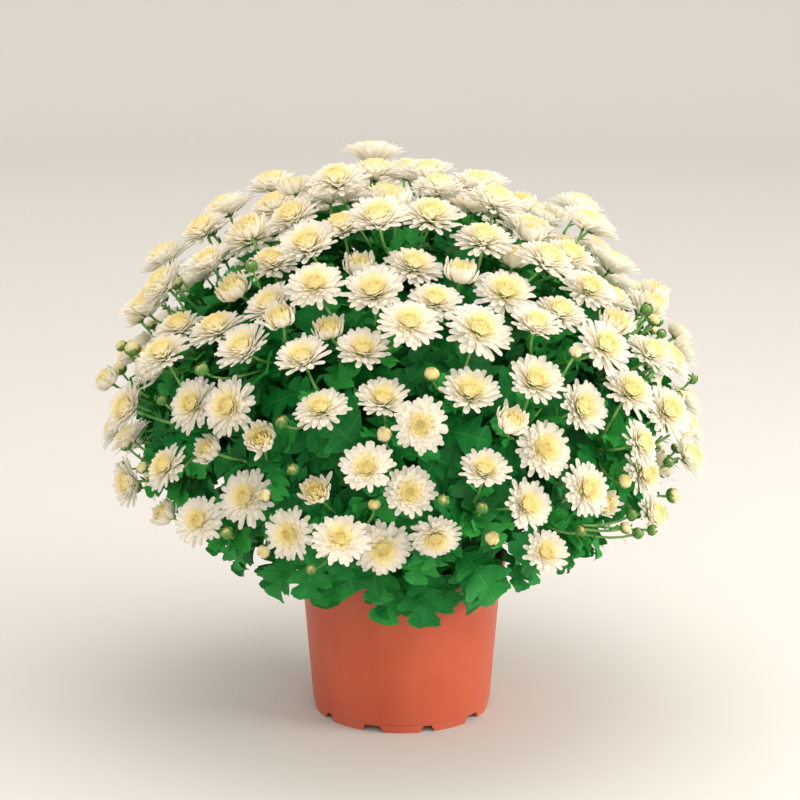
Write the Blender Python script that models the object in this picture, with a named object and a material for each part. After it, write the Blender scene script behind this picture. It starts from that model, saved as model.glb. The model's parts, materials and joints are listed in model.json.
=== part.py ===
"""Pot chrysanthemum: a domed, many-flowered garden mum in a 19 cm moulded nursery pot.

Metres, +Z up, the origin at the middle of the pot's foot ring on the surface it stands on.
The pot holds a plug of potting soil. The leafy stems stand in holes in the soil and spread into
a dome of leaves. Each flower spray is a node of its own, with its foot a hair off that dome.
"""

import math
import random

import bmesh
import bpy
import numpy as np
from mathutils import Matrix, Vector
from mathutils.bvhtree import BVHTree

# Pot, moulded in one piece
POT_HEIGHT = 0.148
RIM_RADIUS = 0.0950
LIP_OVERHANG = 0.0028
LIP_HEIGHT = 0.007
BASE_RADIUS = 0.0840
WALL = 0.0017
FOOT_HEIGHT = 0.0085
FOOT_INSET = 0.0016
FOOT_WALL = 0.0026
FLOOR_UNDERSIDE = 0.0060
FLOOR_TOP = 0.0080
POT_SIDES = 40
NOTCHES = 10
NOTCH_HEIGHT = 0.0062
NOTCH_WIDTHS = (0.0145, 0.0075)  # wide and narrow notches take turns
NOTCH_SLOPE = 0.0042
FIRST_NOTCH = math.radians(-109)
DRAIN_HOLES = 5
DRAIN_RADIUS = 0.0050
DRAIN_CIRCLE = 0.055

# Potting soil
FIT_GAP = 0.0003
SOIL_TOP = 0.134
SOIL_CROWN = 0.004
SOIL_SIDES = 20
SOIL_LUMP = 0.0012

# Main stems
MAIN_STEMS = 6
MAIN_STEM_RADIUS = 0.0046
MAIN_STEM_SIDES = 6
MAIN_STEM_CIRCLE = 0.026
MIDDLE_STEM_OFFSET = 0.003
STEM_SINK = 0.030
MAIN_FORK_Z = 0.205
BRANCHES_PER_STEM = 2
BRANCH_RADIUS = 0.0028

# The dome in which the flower heads lie
DOME_WAIST_Z = 0.282
DOME_RADIUS = 0.268
DOME_RISE = 0.227
DOME_DROP = 0.185
LOWEST_HEAD = math.radians(110)
TOP_CROWDING = 1.36
GOLDEN_ANGLE = math.pi * (3 - math.sqrt(5))
THREE_TURNS = [2 * math.pi * k / 3 for k in range(3)]

# Flower heads and their sprays
SPRAYS = 57
OPEN_HEADS = 164
HALF_OPEN_HEADS = 52
HEAD_SEED = 6076
OPEN_RADII = (0.0218, 0.0262)
HALF_OPEN_RADII = (0.0125, 0.0170)
HEAD_GROWTH = (1.10, 0.93)  # of the heads at the top, and of the lowest ones
HEAD_INSETS = (-0.014, 0.026)
HEAD_JITTER = 0.075
HEAD_LIFT = (-0.08, 0.62)
HEAD_LEAN = 0.22
HEAD_GAP = 0.0012
MOST_NOD = math.radians(48)  # between the way a head faces and the way its stalk comes
SPREAD_STEPS = 120
OPEN_PETALS = 6
CROWN_PETALS = 3
HALF_OPEN_PETALS = 5
BUD_PLACES = 420
BUD_RADIUS = 0.0058
BUDS_KEPT = 16
STALK_RADII = (0.0024, 0.0016)  # of a spray's middle stalk, at its foot and under its head
SEAT_REACH = 0.05  # how much further off a seat may be if it looks straight at its spray, not past
SIDE_STALK_RADII = (0.0007, 0.0013)
FIRST_FORK = 0.16  # share of the middle stalk at which the lowest side stalk leaves it
FORK_STEP = 0.10

# Leaf canopy and leaves
CANOPY_INSET = 0.068
CANOPY_WALL = 0.005
CANOPY_SIDES = 18
CANOPY_RELIEF = 0.009
CANOPY_ANGLES = (12, 27, 43, 59, 75, 89, 102)  # down from the top, in degrees
CANOPY_UNDERSIDE = ((0.162, 0.204), (0.126, 0.180), (0.084, 0.163))  # radius and height
LEAF_SEED = 17
LEAF_CLEARANCE = 0.0016
LEAF_THICKNESS = 0.0016
SINK = 0.003
LEAF_SPACE = 0.0045
DOME_LEAVES = 52
DOME_LEAF_LENGTHS = (0.054, 0.068)
DOME_LEAF_LEAN = (math.radians(24), math.radians(64))
LEAF_TRIES = 60
# Each skirt row: leaves, radius of the leaf bases, leaf lengths, fall of the base half
SKIRT_ROWS = (
    (16, 0.092, (0.062, 0.076), math.radians(6)),
    (15, 0.126, (0.060, 0.072), math.radians(26)),
    (17, 0.164, (0.064, 0.076), math.radians(46)),
)
SKIRT_DROOP = math.radians(52)
DOME_DROOP = math.radians(26)
# Half of a lobed leaf's edge, from its base to its tip, as shares of its length: along, across
LEAF_EDGE = ((0.38, 0.32), (0.52, 0.14), (0.71, 0.36), (0.80, 0.16))
LEAF_MIDDLE = 0.56

COLOURS = {
    "terracotta_plastic": ((0.56, 0.155, 0.075, 1.0), 0.48),
    "potting_soil": ((0.060, 0.040, 0.027, 1.0), 0.95),
    "leaf_green": ((0.035, 0.170, 0.045, 1.0), 0.55),
    "cream_petals": ((0.90, 0.86, 0.66, 1.0), 0.60),
}


def clear_scene():
    for obj in list(bpy.data.objects):
        bpy.data.objects.remove(obj, do_unlink=True)


def material(name):
    colour, roughness = COLOURS[name]
    made = bpy.data.materials.get(name) or bpy.data.materials.new(name)
    made.use_nodes = True
    shader = made.node_tree.nodes["Principled BSDF"]
    shader.inputs["Base Color"].default_value = colour
    shader.inputs["Roughness"].default_value = roughness
    shader.inputs["Metallic"].default_value = 0.0
    made.diffuse_color = colour
    return made


def object_from(name, points, faces, finish=None):
    """One closed object from its corner points and its faces, normals outward."""
    mesh = bpy.data.meshes.new(name)
    mesh.from_pydata([tuple(p) for p in points], [], faces)
    shape = bmesh.new()
    shape.from_mesh(mesh)
    bmesh.ops.triangulate(shape, faces=shape.faces)
    bmesh.ops.recalc_face_normals(shape, faces=shape.faces)
    shape.to_mesh(mesh)
    shape.free()
    made = bpy.data.objects.new(name, mesh)
    bpy.context.scene.collection.objects.link(made)
    if finish:
        mesh.materials.append(material(finish))
    return made


def applied(obj, change):
    """Applies the modifier named change and keeps its result as the object's own mesh."""
    graph = bpy.context.evaluated_depsgraph_get()
    result = bpy.data.meshes.new_from_object(obj.evaluated_get(graph))
    obj.modifiers.remove(obj.modifiers[change])
    obj.data = result


def combine(obj, others, operation):
    """Cuts the others from obj, or joins them to it, and removes them."""
    if not others:
        return
    group = bpy.data.collections.new(obj.name + "_tools")
    bpy.context.scene.collection.children.link(group)
    for other in others:
        bpy.context.scene.collection.objects.unlink(other)
        group.objects.link(other)
    change = obj.modifiers.new(operation, "BOOLEAN")
    change.operation = operation
    change.solver = "MANIFOLD"
    change.operand_type = "COLLECTION"
    change.collection = group
    bpy.context.view_layer.update()
    applied(obj, operation)
    for other in others:
        bpy.data.objects.remove(other, do_unlink=True)
    bpy.data.collections.remove(group)


def turned(name, profile, sides, finish=None):
    """A closed profile of (radius, height) points turned about Z. Points on the axis are poles."""
    points, rings = [], []
    for radius, height in profile:
        count = 1 if radius == 0 else sides
        rings.append(range(len(points), len(points) + count))
        for k in range(count):
            angle = 2 * math.pi * k / sides
            points.append((radius * math.cos(angle), radius * math.sin(angle), height))
    faces = []
    for first, second in zip(rings, [*rings[1:], rings[0]]):
        if len(first) == 1 and len(second) == 1:
            continue
        for k in range(sides):
            a, b = first[k % len(first)], first[(k + 1) % len(first)]
            c, d = second[(k + 1) % len(second)], second[k % len(second)]
            faces.append(list(dict.fromkeys((a, b, c, d))))
    return object_from(name, points, faces, finish)


def cross_axes(axis, hint=Vector((0, 0, 1))):
    """Two unit vectors square to axis, the first as near to hint as it can be."""
    first = hint - axis * hint.dot(axis)
    if first.length < 1e-4:
        first = Vector((1, 0, 0)) - axis * axis.x
    first.normalize()
    return first, axis.cross(first)


def rod(name, start, end, radii, sides):
    """A straight tapered stem from start to end."""
    first, second = cross_axes((end - start).normalized())
    points = []
    for centre, radius in zip((start, end), radii):
        for k in range(sides):
            angle = 2 * math.pi * k / sides
            points.append(centre + (first * math.cos(angle) + second * math.sin(angle)) * radius)
    faces = [[k, (k + 1) % sides, sides + (k + 1) % sides, sides + k] for k in range(sides)]
    faces += [list(range(sides)), list(range(sides, 2 * sides))]
    return object_from(name, points, faces)


def stitched(first, second):
    """Triangles between two closed rings of point numbers that start at about the same angle."""
    faces, i, j = [], 0, 0
    while i < len(first) or j < len(second):
        if j == len(second) or (i < len(first) and (i + 0.5) / len(first) <= (j + 0.5) / len(second)):
            faces.append((first[i], first[(i + 1) % len(first)], second[j % len(second)]))
            i += 1
        else:
            faces.append((first[i % len(first)], second[(j + 1) % len(second)], second[j]))
            j += 1
    return faces


# The layout of the dome

def on_dome(points, insets):
    """Moves each point along the dome's rays to its own inset below the dome of flower heads."""
    flat = np.hypot(points[:, 0], points[:, 1])
    rise = np.where(points[:, 2] >= DOME_WAIST_Z, DOME_RISE, DOME_DROP) - insets
    across = DOME_RADIUS - insets
    theta = np.minimum(np.arctan2(flat / across, (points[:, 2] - DOME_WAIST_Z) / rise), LOWEST_HEAD)
    phi = np.arctan2(points[:, 1], points[:, 0])
    rise = np.where(theta <= math.pi / 2, DOME_RISE, DOME_DROP) - insets
    sine = across * np.sin(theta)
    return np.stack((sine * np.cos(phi), sine * np.sin(phi), DOME_WAIST_Z + rise * np.cos(theta)), 1)


def dome_point(theta, phi, inset=0.0):
    rise = (DOME_RISE if theta <= math.pi / 2 else DOME_DROP) - inset
    sine = (DOME_RADIUS - inset) * math.sin(theta)
    return Vector((sine * math.cos(phi), sine * math.sin(phi), DOME_WAIST_Z + rise * math.cos(theta)))


def dome_normal(point):
    rise = DOME_RISE if point.z >= DOME_WAIST_Z else DOME_DROP
    flat = Vector((point.x, point.y, 0)) / DOME_RADIUS**2
    return (flat + Vector((0, 0, (point.z - DOME_WAIST_Z) / rise**2))).normalized()


def lattice_angles(count, index, crowding=1.0):
    """The index-th of count places spread evenly over the dome from its top to its lowest heads."""
    share = ((index + 0.5) / count) ** crowding
    return math.acos(1 - (1 - math.cos(LOWEST_HEAD)) * share), index * GOLDEN_ANGLE


def spread_apart(points, radii, insets):
    """Pushes heads along the dome until none overlap, then trims the few that still would."""
    reach = radii[:, None] + radii[None] + HEAD_GAP
    for _ in range(SPREAD_STEPS):
        apart = points[:, None] - points[None]
        distance = np.linalg.norm(apart, axis=2) + np.eye(len(points))
        short = np.clip(reach - distance, 0, None) * (1 - np.eye(len(points)))
        points = points + (apart * (0.5 * short / distance)[..., None]).sum(axis=1)
        points = on_dome(points, insets)
    distance = np.linalg.norm(points[:, None] - points[None], axis=2) + np.eye(len(points))
    fit = np.where(np.eye(len(points)) > 0, 1.0, (distance - HEAD_GAP) / (radii[:, None] + radii[None]))
    return points, radii * np.minimum(fit.min(axis=1), 1.0)


def head_axis(point, rng):
    """The way a head faces: out from the dome and leaning a little. Low heads turn up most."""
    lean = Vector([rng.uniform(-HEAD_LEAN, HEAD_LEAN) for _ in range(3)])
    normal = dome_normal(point)
    lift = rng.uniform(*HEAD_LIFT) * (1.3 - normal.z)
    return (normal + Vector((0, 0, lift)) + lean).normalized()


def flower_heads():
    """Every open and half-open head: its stage, radius, middle and the way it faces."""
    rng = random.Random(HEAD_SEED)
    stages = ["open"] * OPEN_HEADS + ["half_open"] * HALF_OPEN_HEADS
    rng.shuffle(stages)
    points, radii, insets = [], [], []
    for index, stage in enumerate(stages):
        theta, phi = lattice_angles(len(stages), index, TOP_CROWDING)
        theta = abs(theta + rng.uniform(-HEAD_JITTER, HEAD_JITTER))
        phi += rng.uniform(-HEAD_JITTER, HEAD_JITTER) / max(math.sin(theta), 0.2)
        insets.append(rng.uniform(*HEAD_INSETS))
        growth = float(np.interp(theta, (0, LOWEST_HEAD), HEAD_GROWTH))
        radii.append(rng.uniform(*(OPEN_RADII if stage == "open" else HALF_OPEN_RADII)) * growth)
        points.append(dome_point(theta, phi, insets[-1]))
    points, radii = spread_apart(np.array(points), np.array(radii), np.array(insets))
    heads = []
    for stage, point, radius in zip(stages, points, radii):
        middle = Vector(point)
        heads.append({"stage": stage, "radius": float(radius), "middle": middle,
                      "axis": head_axis(middle, rng)})
    return heads


def flower_buds(heads):
    """Round closed buds in the gaps between the heads."""
    rng = random.Random(HEAD_SEED + 1)
    buds = []
    for index in range(BUD_PLACES):
        theta, phi = lattice_angles(BUD_PLACES, index)
        middle = dome_point(theta, phi + 1.0, rng.uniform(-0.004, 0.014))
        radius = BUD_RADIUS * rng.uniform(0.75, 1.25)
        near = min((middle - h["middle"]).length - h["radius"] for h in heads + buds)
        if near > radius + HEAD_GAP:
            axis = head_axis(middle, rng)
            buds.append({"stage": "bud", "radius": radius, "middle": middle, "axis": axis})
    return buds


def grouped(heads):
    """Heads grouped by the nearest of the evenly spread spray places, and turned to face no
    further off their stalks than a real neck bends.
    """
    places = [dome_point(*lattice_angles(SPRAYS, k)) for k in range(SPRAYS)]
    groups = [[] for _ in places]
    for head in heads:
        groups[min(range(SPRAYS), key=lambda k: (head["middle"] - places[k]).length)].append(head)
    groups = [group for group in groups if any(h["stage"] != "bud" for h in group)]
    for group in groups:
        root = on_dome(np.array([middle_of(group)]), np.array([CANOPY_INSET]))[0]
        for head in group:
            way = (head["middle"] - Vector(root)).normalized()
            nod = way.angle(head["axis"])
            if nod > MOST_NOD:
                head["axis"] = way.slerp(head["axis"], MOST_NOD / nod)
    return groups


def middle_of(group):
    blooms = [h["middle"] for h in group if h["stage"] != "bud"]
    return sum(blooms, Vector()) / len(blooms)


def sprays_of(groups, canopy):
    """Each spray has its foot a hair off the middle of the near face of the canopy that looks
    straightest at it. The head that stands straightest over the foot comes first.
    """
    sprays = []
    faces = [(face.center.copy(), face.normal.copy()) for face in canopy.data.polygons]

    def badness(face, middle):
        way = middle - face[0]
        return way.length / SEAT_REACH - face[1].dot(way.normalized())

    for group in groups:
        middle = middle_of(group)
        best = min(faces, key=lambda face: badness(face, middle))
        faces.remove(best)
        centre, seat = best
        foot = centre + seat * FIT_GAP
        group.sort(key=lambda h: (h["stage"] == "bud", seat.angle(head_base(h) - foot)))
        sprays.append({"foot": foot, "seat": seat, "heads": group})
    return sprays


def stalk_ends(spray, index):
    """Where the stalk of a spray's index-th head starts and where it meets the head."""
    heads = spray["heads"]
    fork = FIRST_FORK + FORK_STEP * (len(heads) - 1 - index) if index else 0.0
    start = spray["foot"].lerp(head_base(heads[0]), fork)
    return start, head_base(heads[index])


def head_base(head):
    """The underside of a head, where its stalk grows from."""
    depth = {"open": 0.0075, "half_open": 0.0100, "bud": head["radius"]}[head["stage"]]
    return head["middle"] - head["axis"] * depth


# Pot and soil

def make_pot():
    slope = (RIM_RADIUS - BASE_RADIUS) / (POT_HEIGHT - FOOT_HEIGHT)
    foot = BASE_RADIUS - FOOT_INSET
    lip = RIM_RADIUS + LIP_OVERHANG
    under_lip = POT_HEIGHT - LIP_HEIGHT
    profile = [
        (0, FLOOR_TOP),
        (BASE_RADIUS - WALL, FLOOR_TOP),
        (RIM_RADIUS - WALL, POT_HEIGHT),
        (lip, POT_HEIGHT),
        (lip, under_lip),
        (RIM_RADIUS - slope * LIP_HEIGHT, under_lip - 0.0005),
        (BASE_RADIUS, FOOT_HEIGHT),
        (foot, FOOT_HEIGHT - 0.0004),
        (foot, 0.0),
        (foot - FOOT_WALL, 0.0),
        (foot - FOOT_WALL, FLOOR_UNDERSIDE),
        (0, FLOOR_UNDERSIDE),
    ]
    pot = turned("pot", profile, POT_SIDES, "terracotta_plastic")
    combine(pot, [notch(k) for k in range(NOTCHES)] + drain_holes(), "DIFFERENCE")
    return pot


def notch(index):
    """The cutter for one notch in the foot ring, wider at the bottom, as the feet taper."""
    top = NOTCH_WIDTHS[index % 2] / 2
    bottom = top + NOTCH_SLOPE
    inner, outer = BASE_RADIUS - 0.010, BASE_RADIUS + 0.010
    edge = ((-bottom, -0.0015), (bottom, -0.0015), (top, NOTCH_HEIGHT), (-top, NOTCH_HEIGHT))
    turn = Matrix.Rotation(FIRST_NOTCH + 2 * math.pi * index / NOTCHES, 3, "Z")
    points = [turn @ Vector((x, y, z)) for x in (inner, outer) for y, z in edge]
    count = len(edge)
    faces = [[k, (k + 1) % count, count + (k + 1) % count, count + k] for k in range(count)]
    faces += [list(range(count)), list(range(count, 2 * count))]
    return object_from("notch", points, faces)


def drain_holes():
    seats = []
    for k in range(DRAIN_HOLES):
        angle = FIRST_NOTCH + 2 * math.pi * k / DRAIN_HOLES
        seats.append(Vector((math.cos(angle), math.sin(angle), 0)) * DRAIN_CIRCLE)
    low, high = Vector((0, 0, FLOOR_UNDERSIDE - 0.002)), Vector((0, 0, FLOOR_TOP + 0.002))
    return [rod("drain", seat + low, seat + high, (DRAIN_RADIUS,) * 2, 6) for seat in seats]


def main_stem_foot(index):
    angle = 2 * math.pi * (index - 1) / (MAIN_STEMS - 1)
    out = MAIN_STEM_CIRCLE if index > 0 else MIDDLE_STEM_OFFSET
    return Vector((out * math.cos(angle), out * math.sin(angle), SOIL_TOP - STEM_SINK))


def make_soil():
    slope = (RIM_RADIUS - BASE_RADIUS) / (POT_HEIGHT - FLOOR_TOP)
    inner = BASE_RADIUS - WALL - FIT_GAP
    low = FLOOR_TOP + FIT_GAP
    profile = [
        (0, low),
        (inner, low),
        (inner + slope * (SOIL_TOP - FLOOR_TOP), SOIL_TOP),
        (0.072, SOIL_TOP + SOIL_CROWN * 0.5),
        (0.045, SOIL_TOP + SOIL_CROWN * 0.9),
        (0.0, SOIL_TOP + SOIL_CROWN),
    ]
    soil = turned("potting_soil", profile, SOIL_SIDES, "potting_soil")
    rng = random.Random(LEAF_SEED)
    for vertex in soil.data.vertices:
        if vertex.co.z > SOIL_TOP + SOIL_LUMP:
            vertex.co.z += rng.uniform(-SOIL_LUMP, SOIL_LUMP)
    holes = []
    for k in range(MAIN_STEMS):
        foot = main_stem_foot(k) - Vector((0, 0, FIT_GAP))
        top = Vector((foot.x, foot.y, SOIL_TOP + 0.02))
        holes.append(rod("hole", foot, top, (MAIN_STEM_RADIUS + FIT_GAP,) * 2, MAIN_STEM_SIDES))
    combine(soil, holes, "DIFFERENCE")
    return soil


# Flower sprays

def stalk_ring(centre, along, hint, radius, plane):
    """Three points of a stalk that runs along one way, cut square to another, plane."""
    first, second = cross_axes(along, hint)
    spokes = [(first * math.cos(t) + second * math.sin(t)) * radius for t in THREE_TURNS]
    return [centre + spoke - along * (spoke.dot(plane) / along.dot(plane)) for spoke in spokes]


def head_with_stalk(head, start, end, start_axis, stalk_radii):
    """One closed head on its stalk, in rings from its inner petals down to the stalk's foot."""
    axis, radius = head["axis"], head["radius"]
    first, second = cross_axes(axis)

    def ring(count, spokes):
        """count points round the head, taking turns between the (share of radius, height) spokes."""
        made = []
        for k in range(count):
            share, height = spokes[k % len(spokes)]
            angle = 2 * math.pi * k / count
            out = first * math.cos(angle) + second * math.sin(angle)
            made.append(head["middle"] + out * (radius * share) + axis * height)
        return made

    if head["stage"] == "open":
        rings = [
            ring(2 * CROWN_PETALS, ((0.56, 0.0096), (0.38, 0.0046))),
            ring(2 * OPEN_PETALS, ((1.0, 0.0022), (0.76, 0.0004))),
        ]
    elif head["stage"] == "half_open":
        rings = [
            ring(2 * HALF_OPEN_PETALS, ((1.0, 0.0092), (0.70, 0.0050))),
            ring(HALF_OPEN_PETALS, ((0.80, -0.0015),)),
        ]
    else:
        rings = [ring(4, ((0.55, radius * 0.8),)), ring(4, ((1.0, 0.0),))]
    along = (end - start).normalized()
    rings.append(stalk_ring(end, along, first, stalk_radii[1], axis + along))
    rings.append(stalk_ring(start, along, first, stalk_radii[0], start_axis or along))
    points, faces, numbers = [], [], []
    for ring_points in rings:
        numbers.append(range(len(points), len(points) + len(ring_points)))
        points += ring_points
    for upper, lower in zip(numbers, numbers[1:]):
        faces += stitched(upper, lower)
    tips, low = numbers[0][::2], list(numbers[0][1::2])
    if head["stage"] == "bud":
        faces.append(list(numbers[0]))
    else:
        faces += [low] + [(low[k - 1], tips[k], low[k]) for k in range(len(low))]
    faces.append(list(numbers[-1]))
    return object_from("head", points, faces)


def make_spray(number, spray):
    parts = []
    for index, head in enumerate(spray["heads"]):
        start, end = stalk_ends(spray, index)
        seat, radii = (None, SIDE_STALK_RADII) if index else (spray["seat"], STALK_RADII)
        parts.append(head_with_stalk(head, start, end, seat, radii))
    spray_object, others = parts[0], parts[1:]
    spray_object.name = f"flower_spray_{number:02d}"
    combine(spray_object, others, "UNION")
    spray_object.data.materials.clear()
    spray_object.data.materials.append(material("cream_petals"))
    return spray_object


# Leafy stems

def make_canopy():
    """The crowded inner leaves as one thin dome, open below, that the outer leaves stand out of.

    It is raised and sunk in turn, so that it is all leaf tips and hollows.
    """
    points, faces = [], []
    for k in range(CANOPY_SIDES):
        phi = 2 * math.pi * k / CANOPY_SIDES
        out = Vector((math.cos(phi), math.sin(phi), 0))
        up = Vector((0, 0, 1))
        thetas = [math.radians(angle) for angle in CANOPY_ANGLES]
        outer = [dome_point(t, phi, CANOPY_INSET) for t in thetas]
        inner = [dome_point(t, phi, CANOPY_INSET + CANOPY_WALL) for t in thetas]
        outer += [out * radius + up * height for radius, height in CANOPY_UNDERSIDE]
        inner += [out * (radius - CANOPY_WALL / 2) + up * (height + CANOPY_WALL)
                  for radius, height in CANOPY_UNDERSIDE]
        for j in range(k % 2, len(CANOPY_ANGLES), 2):
            outer[j] += dome_normal(outer[j]) * CANOPY_RELIEF
            inner[j] += dome_normal(outer[j]) * CANOPY_RELIEF
        points += outer + inner[::-1]
    columns = len(points) // CANOPY_SIDES
    for k in range(CANOPY_SIDES):
        here, there = k * columns, ((k + 1) % CANOPY_SIDES) * columns
        for j in range(columns - 1):
            faces.append([here + j, there + j, there + j + 1, here + j + 1])
    for wall, row in ((0.0, 0), (CANOPY_WALL, columns - 1)):
        points.append(dome_point(0.0, 0.0, CANOPY_INSET + wall))
        faces += [[len(points) - 1, k * columns + row, ((k + 1) % CANOPY_SIDES) * columns + row]
                  for k in range(CANOPY_SIDES)]
    return object_from("leafy_stems", points, faces, "leaf_green")


def make_main_stems(canopy_tree):
    """Each main stem stands in its hole in the soil, leans outward and forks into the canopy."""
    rods = []
    for k in range(MAIN_STEMS):
        foot = main_stem_foot(k)
        collar = Vector((foot.x, foot.y, SOIL_TOP + 0.012))
        angle = math.atan2(foot.y, foot.x)
        lean = Vector((math.cos(angle), math.sin(angle), 0)) * (0.062 * (k > 0))
        fork = Vector((lean.x, lean.y, MAIN_FORK_Z))
        rods.append(rod("stem", foot, collar, (MAIN_STEM_RADIUS,) * 2, MAIN_STEM_SIDES))
        rods.append(rod("stem", collar - Vector((0, 0, 0.003)), fork,
                        (MAIN_STEM_RADIUS * 0.9, BRANCH_RADIUS * 1.25), 5))
        for j in range(BRANCHES_PER_STEM):
            theta = (math.radians(12), math.radians(30))[j] if k == 0 else math.radians(42 + 34 * j)
            begin = fork - Vector((0, 0, 0.006))
            way = (dome_point(theta, angle + 0.4 * (j - 0.5), CANOPY_INSET) - begin).normalized()
            end = canopy_tree.ray_cast(begin, way)[0] + way * SINK
            rods.append(rod("branch", begin, end, (BRANCH_RADIUS, BRANCH_RADIUS * 0.8), 4))
    return rods


def leaf_points(base, heading, face, length, droop):
    """Corners of a lobed leaf: base, both edges, tip, then the two middles of its thick rib.

    heading is the way its base half runs, face the way its upper side looks. The tip half droops.
    """
    side = heading.cross(face).normalized()
    face = side.cross(heading).normalized()
    bent = heading * math.cos(droop) - face * math.sin(droop)
    bent_face = heading * math.sin(droop) + face * math.cos(droop)

    def place(along, across):
        near, far = min(along, LEAF_MIDDLE), max(along - LEAF_MIDDLE, 0.0)
        lift = face if along <= LEAF_MIDDLE else bent_face
        spot = base + heading * (near * length) + bent * (far * length)
        return spot + side * (across * length) + lift * (abs(across) * length * 0.22)

    left = [place(along, across) for along, across in LEAF_EDGE]
    right = [place(along, -across) for along, across in LEAF_EDGE]
    middle = place(LEAF_MIDDLE, 0)
    thick = (face + bent_face).normalized() * (LEAF_THICKNESS / 2)
    outline = [base, *left, place(1.0, 0), *reversed(right)]
    return [*outline, middle + thick, middle - thick]


def make_leaf(points):
    count = len(points) - 2
    faces = []
    for k in range(count):
        faces.append([k, (k + 1) % count, count])
        faces.append([(k + 1) % count, k, count + 1])
    return object_from("leaf", points, faces)


def leaf_samples(points):
    """Points spread over a leaf, close enough together that nothing thin slips between them."""
    steps = 7
    count = len(points) - 2
    middle = (points[-1] + points[-2]) / 2
    found = []
    for k in range(count):
        a, b = points[k], points[(k + 1) % count]
        for i in range(steps + 1):
            for j in range(steps + 1 - i):
                found.append(middle + (a - middle) * (i / steps) + (b - middle) * (j / steps))
    return np.array(found)


def obstacles_of(sprays):
    """The stalks as segments, and the heads as discs, that leaves keep clear of."""
    starts, ends, middles, axes, radii = [], [], [], [], []
    for spray in sprays:
        for index, head in enumerate(spray["heads"]):
            start, end = stalk_ends(spray, index)
            starts.append(start)
            ends.append(end)
            middles.append(head["middle"])
            axes.append(head["axis"])
            radii.append(head["radius"])
    return [np.array(part) for part in (starts, ends, middles, axes, radii)]


def is_clear(samples, obstacles):
    """Whether a leaf crosses no stalk, no head and no part of the pot."""
    starts, ends, middles, axes, radii = obstacles
    along = ends - starts
    from_start = samples[:, None] - starts[None]
    share = np.clip((from_start * along).sum(2) / (along * along).sum(1), 0, 1)
    off = np.linalg.norm(from_start - share[..., None] * along, axis=2)
    if off.min() < STALK_RADII[0] + LEAF_CLEARANCE:
        return False
    from_middle = samples[:, None] - middles[None]
    height = (from_middle * axes).sum(2)
    out = np.sqrt(np.maximum((from_middle * from_middle).sum(2) - height**2, 0))
    in_head = (height > -0.0115) & (height < 0.0125) & (out < radii + LEAF_CLEARANCE)
    from_pot_axis = np.hypot(samples[:, 0], samples[:, 1])
    near_pot = (samples[:, 2] < POT_HEIGHT + 0.002) & (from_pot_axis < RIM_RADIUS + 0.006)
    return not in_head.any() and not near_pot.any()


def is_apart(samples, placed):
    """Whether a leaf crosses none of those placed before it, which share its row or its stem."""
    middle = samples.mean(axis=0)
    for other in placed:
        if np.linalg.norm(other.mean(axis=0) - middle) > 0.08:
            continue
        if np.linalg.norm(samples[:, None] - other[None], axis=2).min() < LEAF_SPACE:
            return False
    return True


def skirt_leaf(rng, canopy_tree, row, index):
    """A leaf of the skirt: out over the pot's rim from low in the canopy, then hanging."""
    count, radius, lengths, fall = row
    phi = 2 * math.pi * (index + rng.uniform(-0.2, 0.2)) / count + radius * 9
    out = Vector((math.cos(phi), math.sin(phi), 0))
    below = canopy_tree.ray_cast(out * radius, Vector((0, 0, 1)))[0]
    base = below + Vector((0, 0, SINK))
    turn = Matrix.Rotation(rng.uniform(-0.45, 0.45), 3, "Z")
    heading = turn @ (out * math.cos(fall) - Vector((0, 0, math.sin(fall + rng.uniform(-0.1, 0.1)))))
    face = Vector((rng.uniform(-0.3, 0.3), rng.uniform(-0.3, 0.3), 1))
    length = rng.uniform(*lengths)
    return leaf_points(base, heading.normalized(), face, length, SKIRT_DROOP * rng.uniform(0.7, 1.15))


def dome_leaf(rng, canopy_tree, index):
    """A leaf between the flower stalks, standing out of the canopy at a slant."""
    theta, phi = lattice_angles(DOME_LEAVES, index)
    theta = min(theta + rng.uniform(-0.09, 0.09), math.radians(100))
    phi += 0.5 + rng.uniform(-0.12, 0.12) / max(math.sin(theta), 0.25)
    spot, normal, _, _ = canopy_tree.find_nearest(dome_point(abs(theta), phi, CANOPY_INSET))
    base = spot - normal * SINK
    first, second = cross_axes(normal)
    spin = rng.uniform(0, 2 * math.pi)
    sideways = first * math.cos(spin) + second * math.sin(spin)
    lean = rng.uniform(*DOME_LEAF_LEAN)
    heading = (normal * math.cos(lean) + sideways * math.sin(lean)).normalized()
    face = normal + Vector((0, 0, 0.4))
    length = rng.uniform(*DOME_LEAF_LENGTHS)
    return leaf_points(base, heading, face, length, DOME_DROOP * rng.uniform(0.3, 1.3))


def make_leaves(sprays, canopy_tree):
    rng = random.Random(LEAF_SEED)
    obstacles = obstacles_of(sprays)
    seats = [(skirt_leaf, (row, k)) for row in SKIRT_ROWS for k in range(row[0])]
    seats += [(dome_leaf, (k,)) for k in range(DOME_LEAVES)]
    leaves, placed = [], []
    for draw, place in seats:
        for _ in range(LEAF_TRIES):
            points = draw(rng, canopy_tree, *place)
            samples = leaf_samples(points)
            if is_clear(samples, obstacles) and is_apart(samples, placed):
                leaves.append(make_leaf(points))
                placed.append(samples)
                break
    return leaves


def make_leafy_stems(canopy, canopy_tree, sprays):
    combine(canopy, make_main_stems(canopy_tree) + make_leaves(sprays, canopy_tree), "UNION")
    return canopy


def main():
    clear_scene()
    make_pot()
    make_soil()
    canopy = make_canopy()
    canopy_tree = BVHTree.FromObject(canopy, bpy.context.evaluated_depsgraph_get())
    heads = flower_heads()
    buds = flower_buds(heads)
    heads += buds[:: max(1, len(buds) // BUDS_KEPT)]
    sprays = sprays_of(grouped(heads), canopy)
    for number, spray in enumerate(sprays, 1):
        make_spray(number, spray)
    make_leafy_stems(canopy, canopy_tree, sprays)


main()
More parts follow.
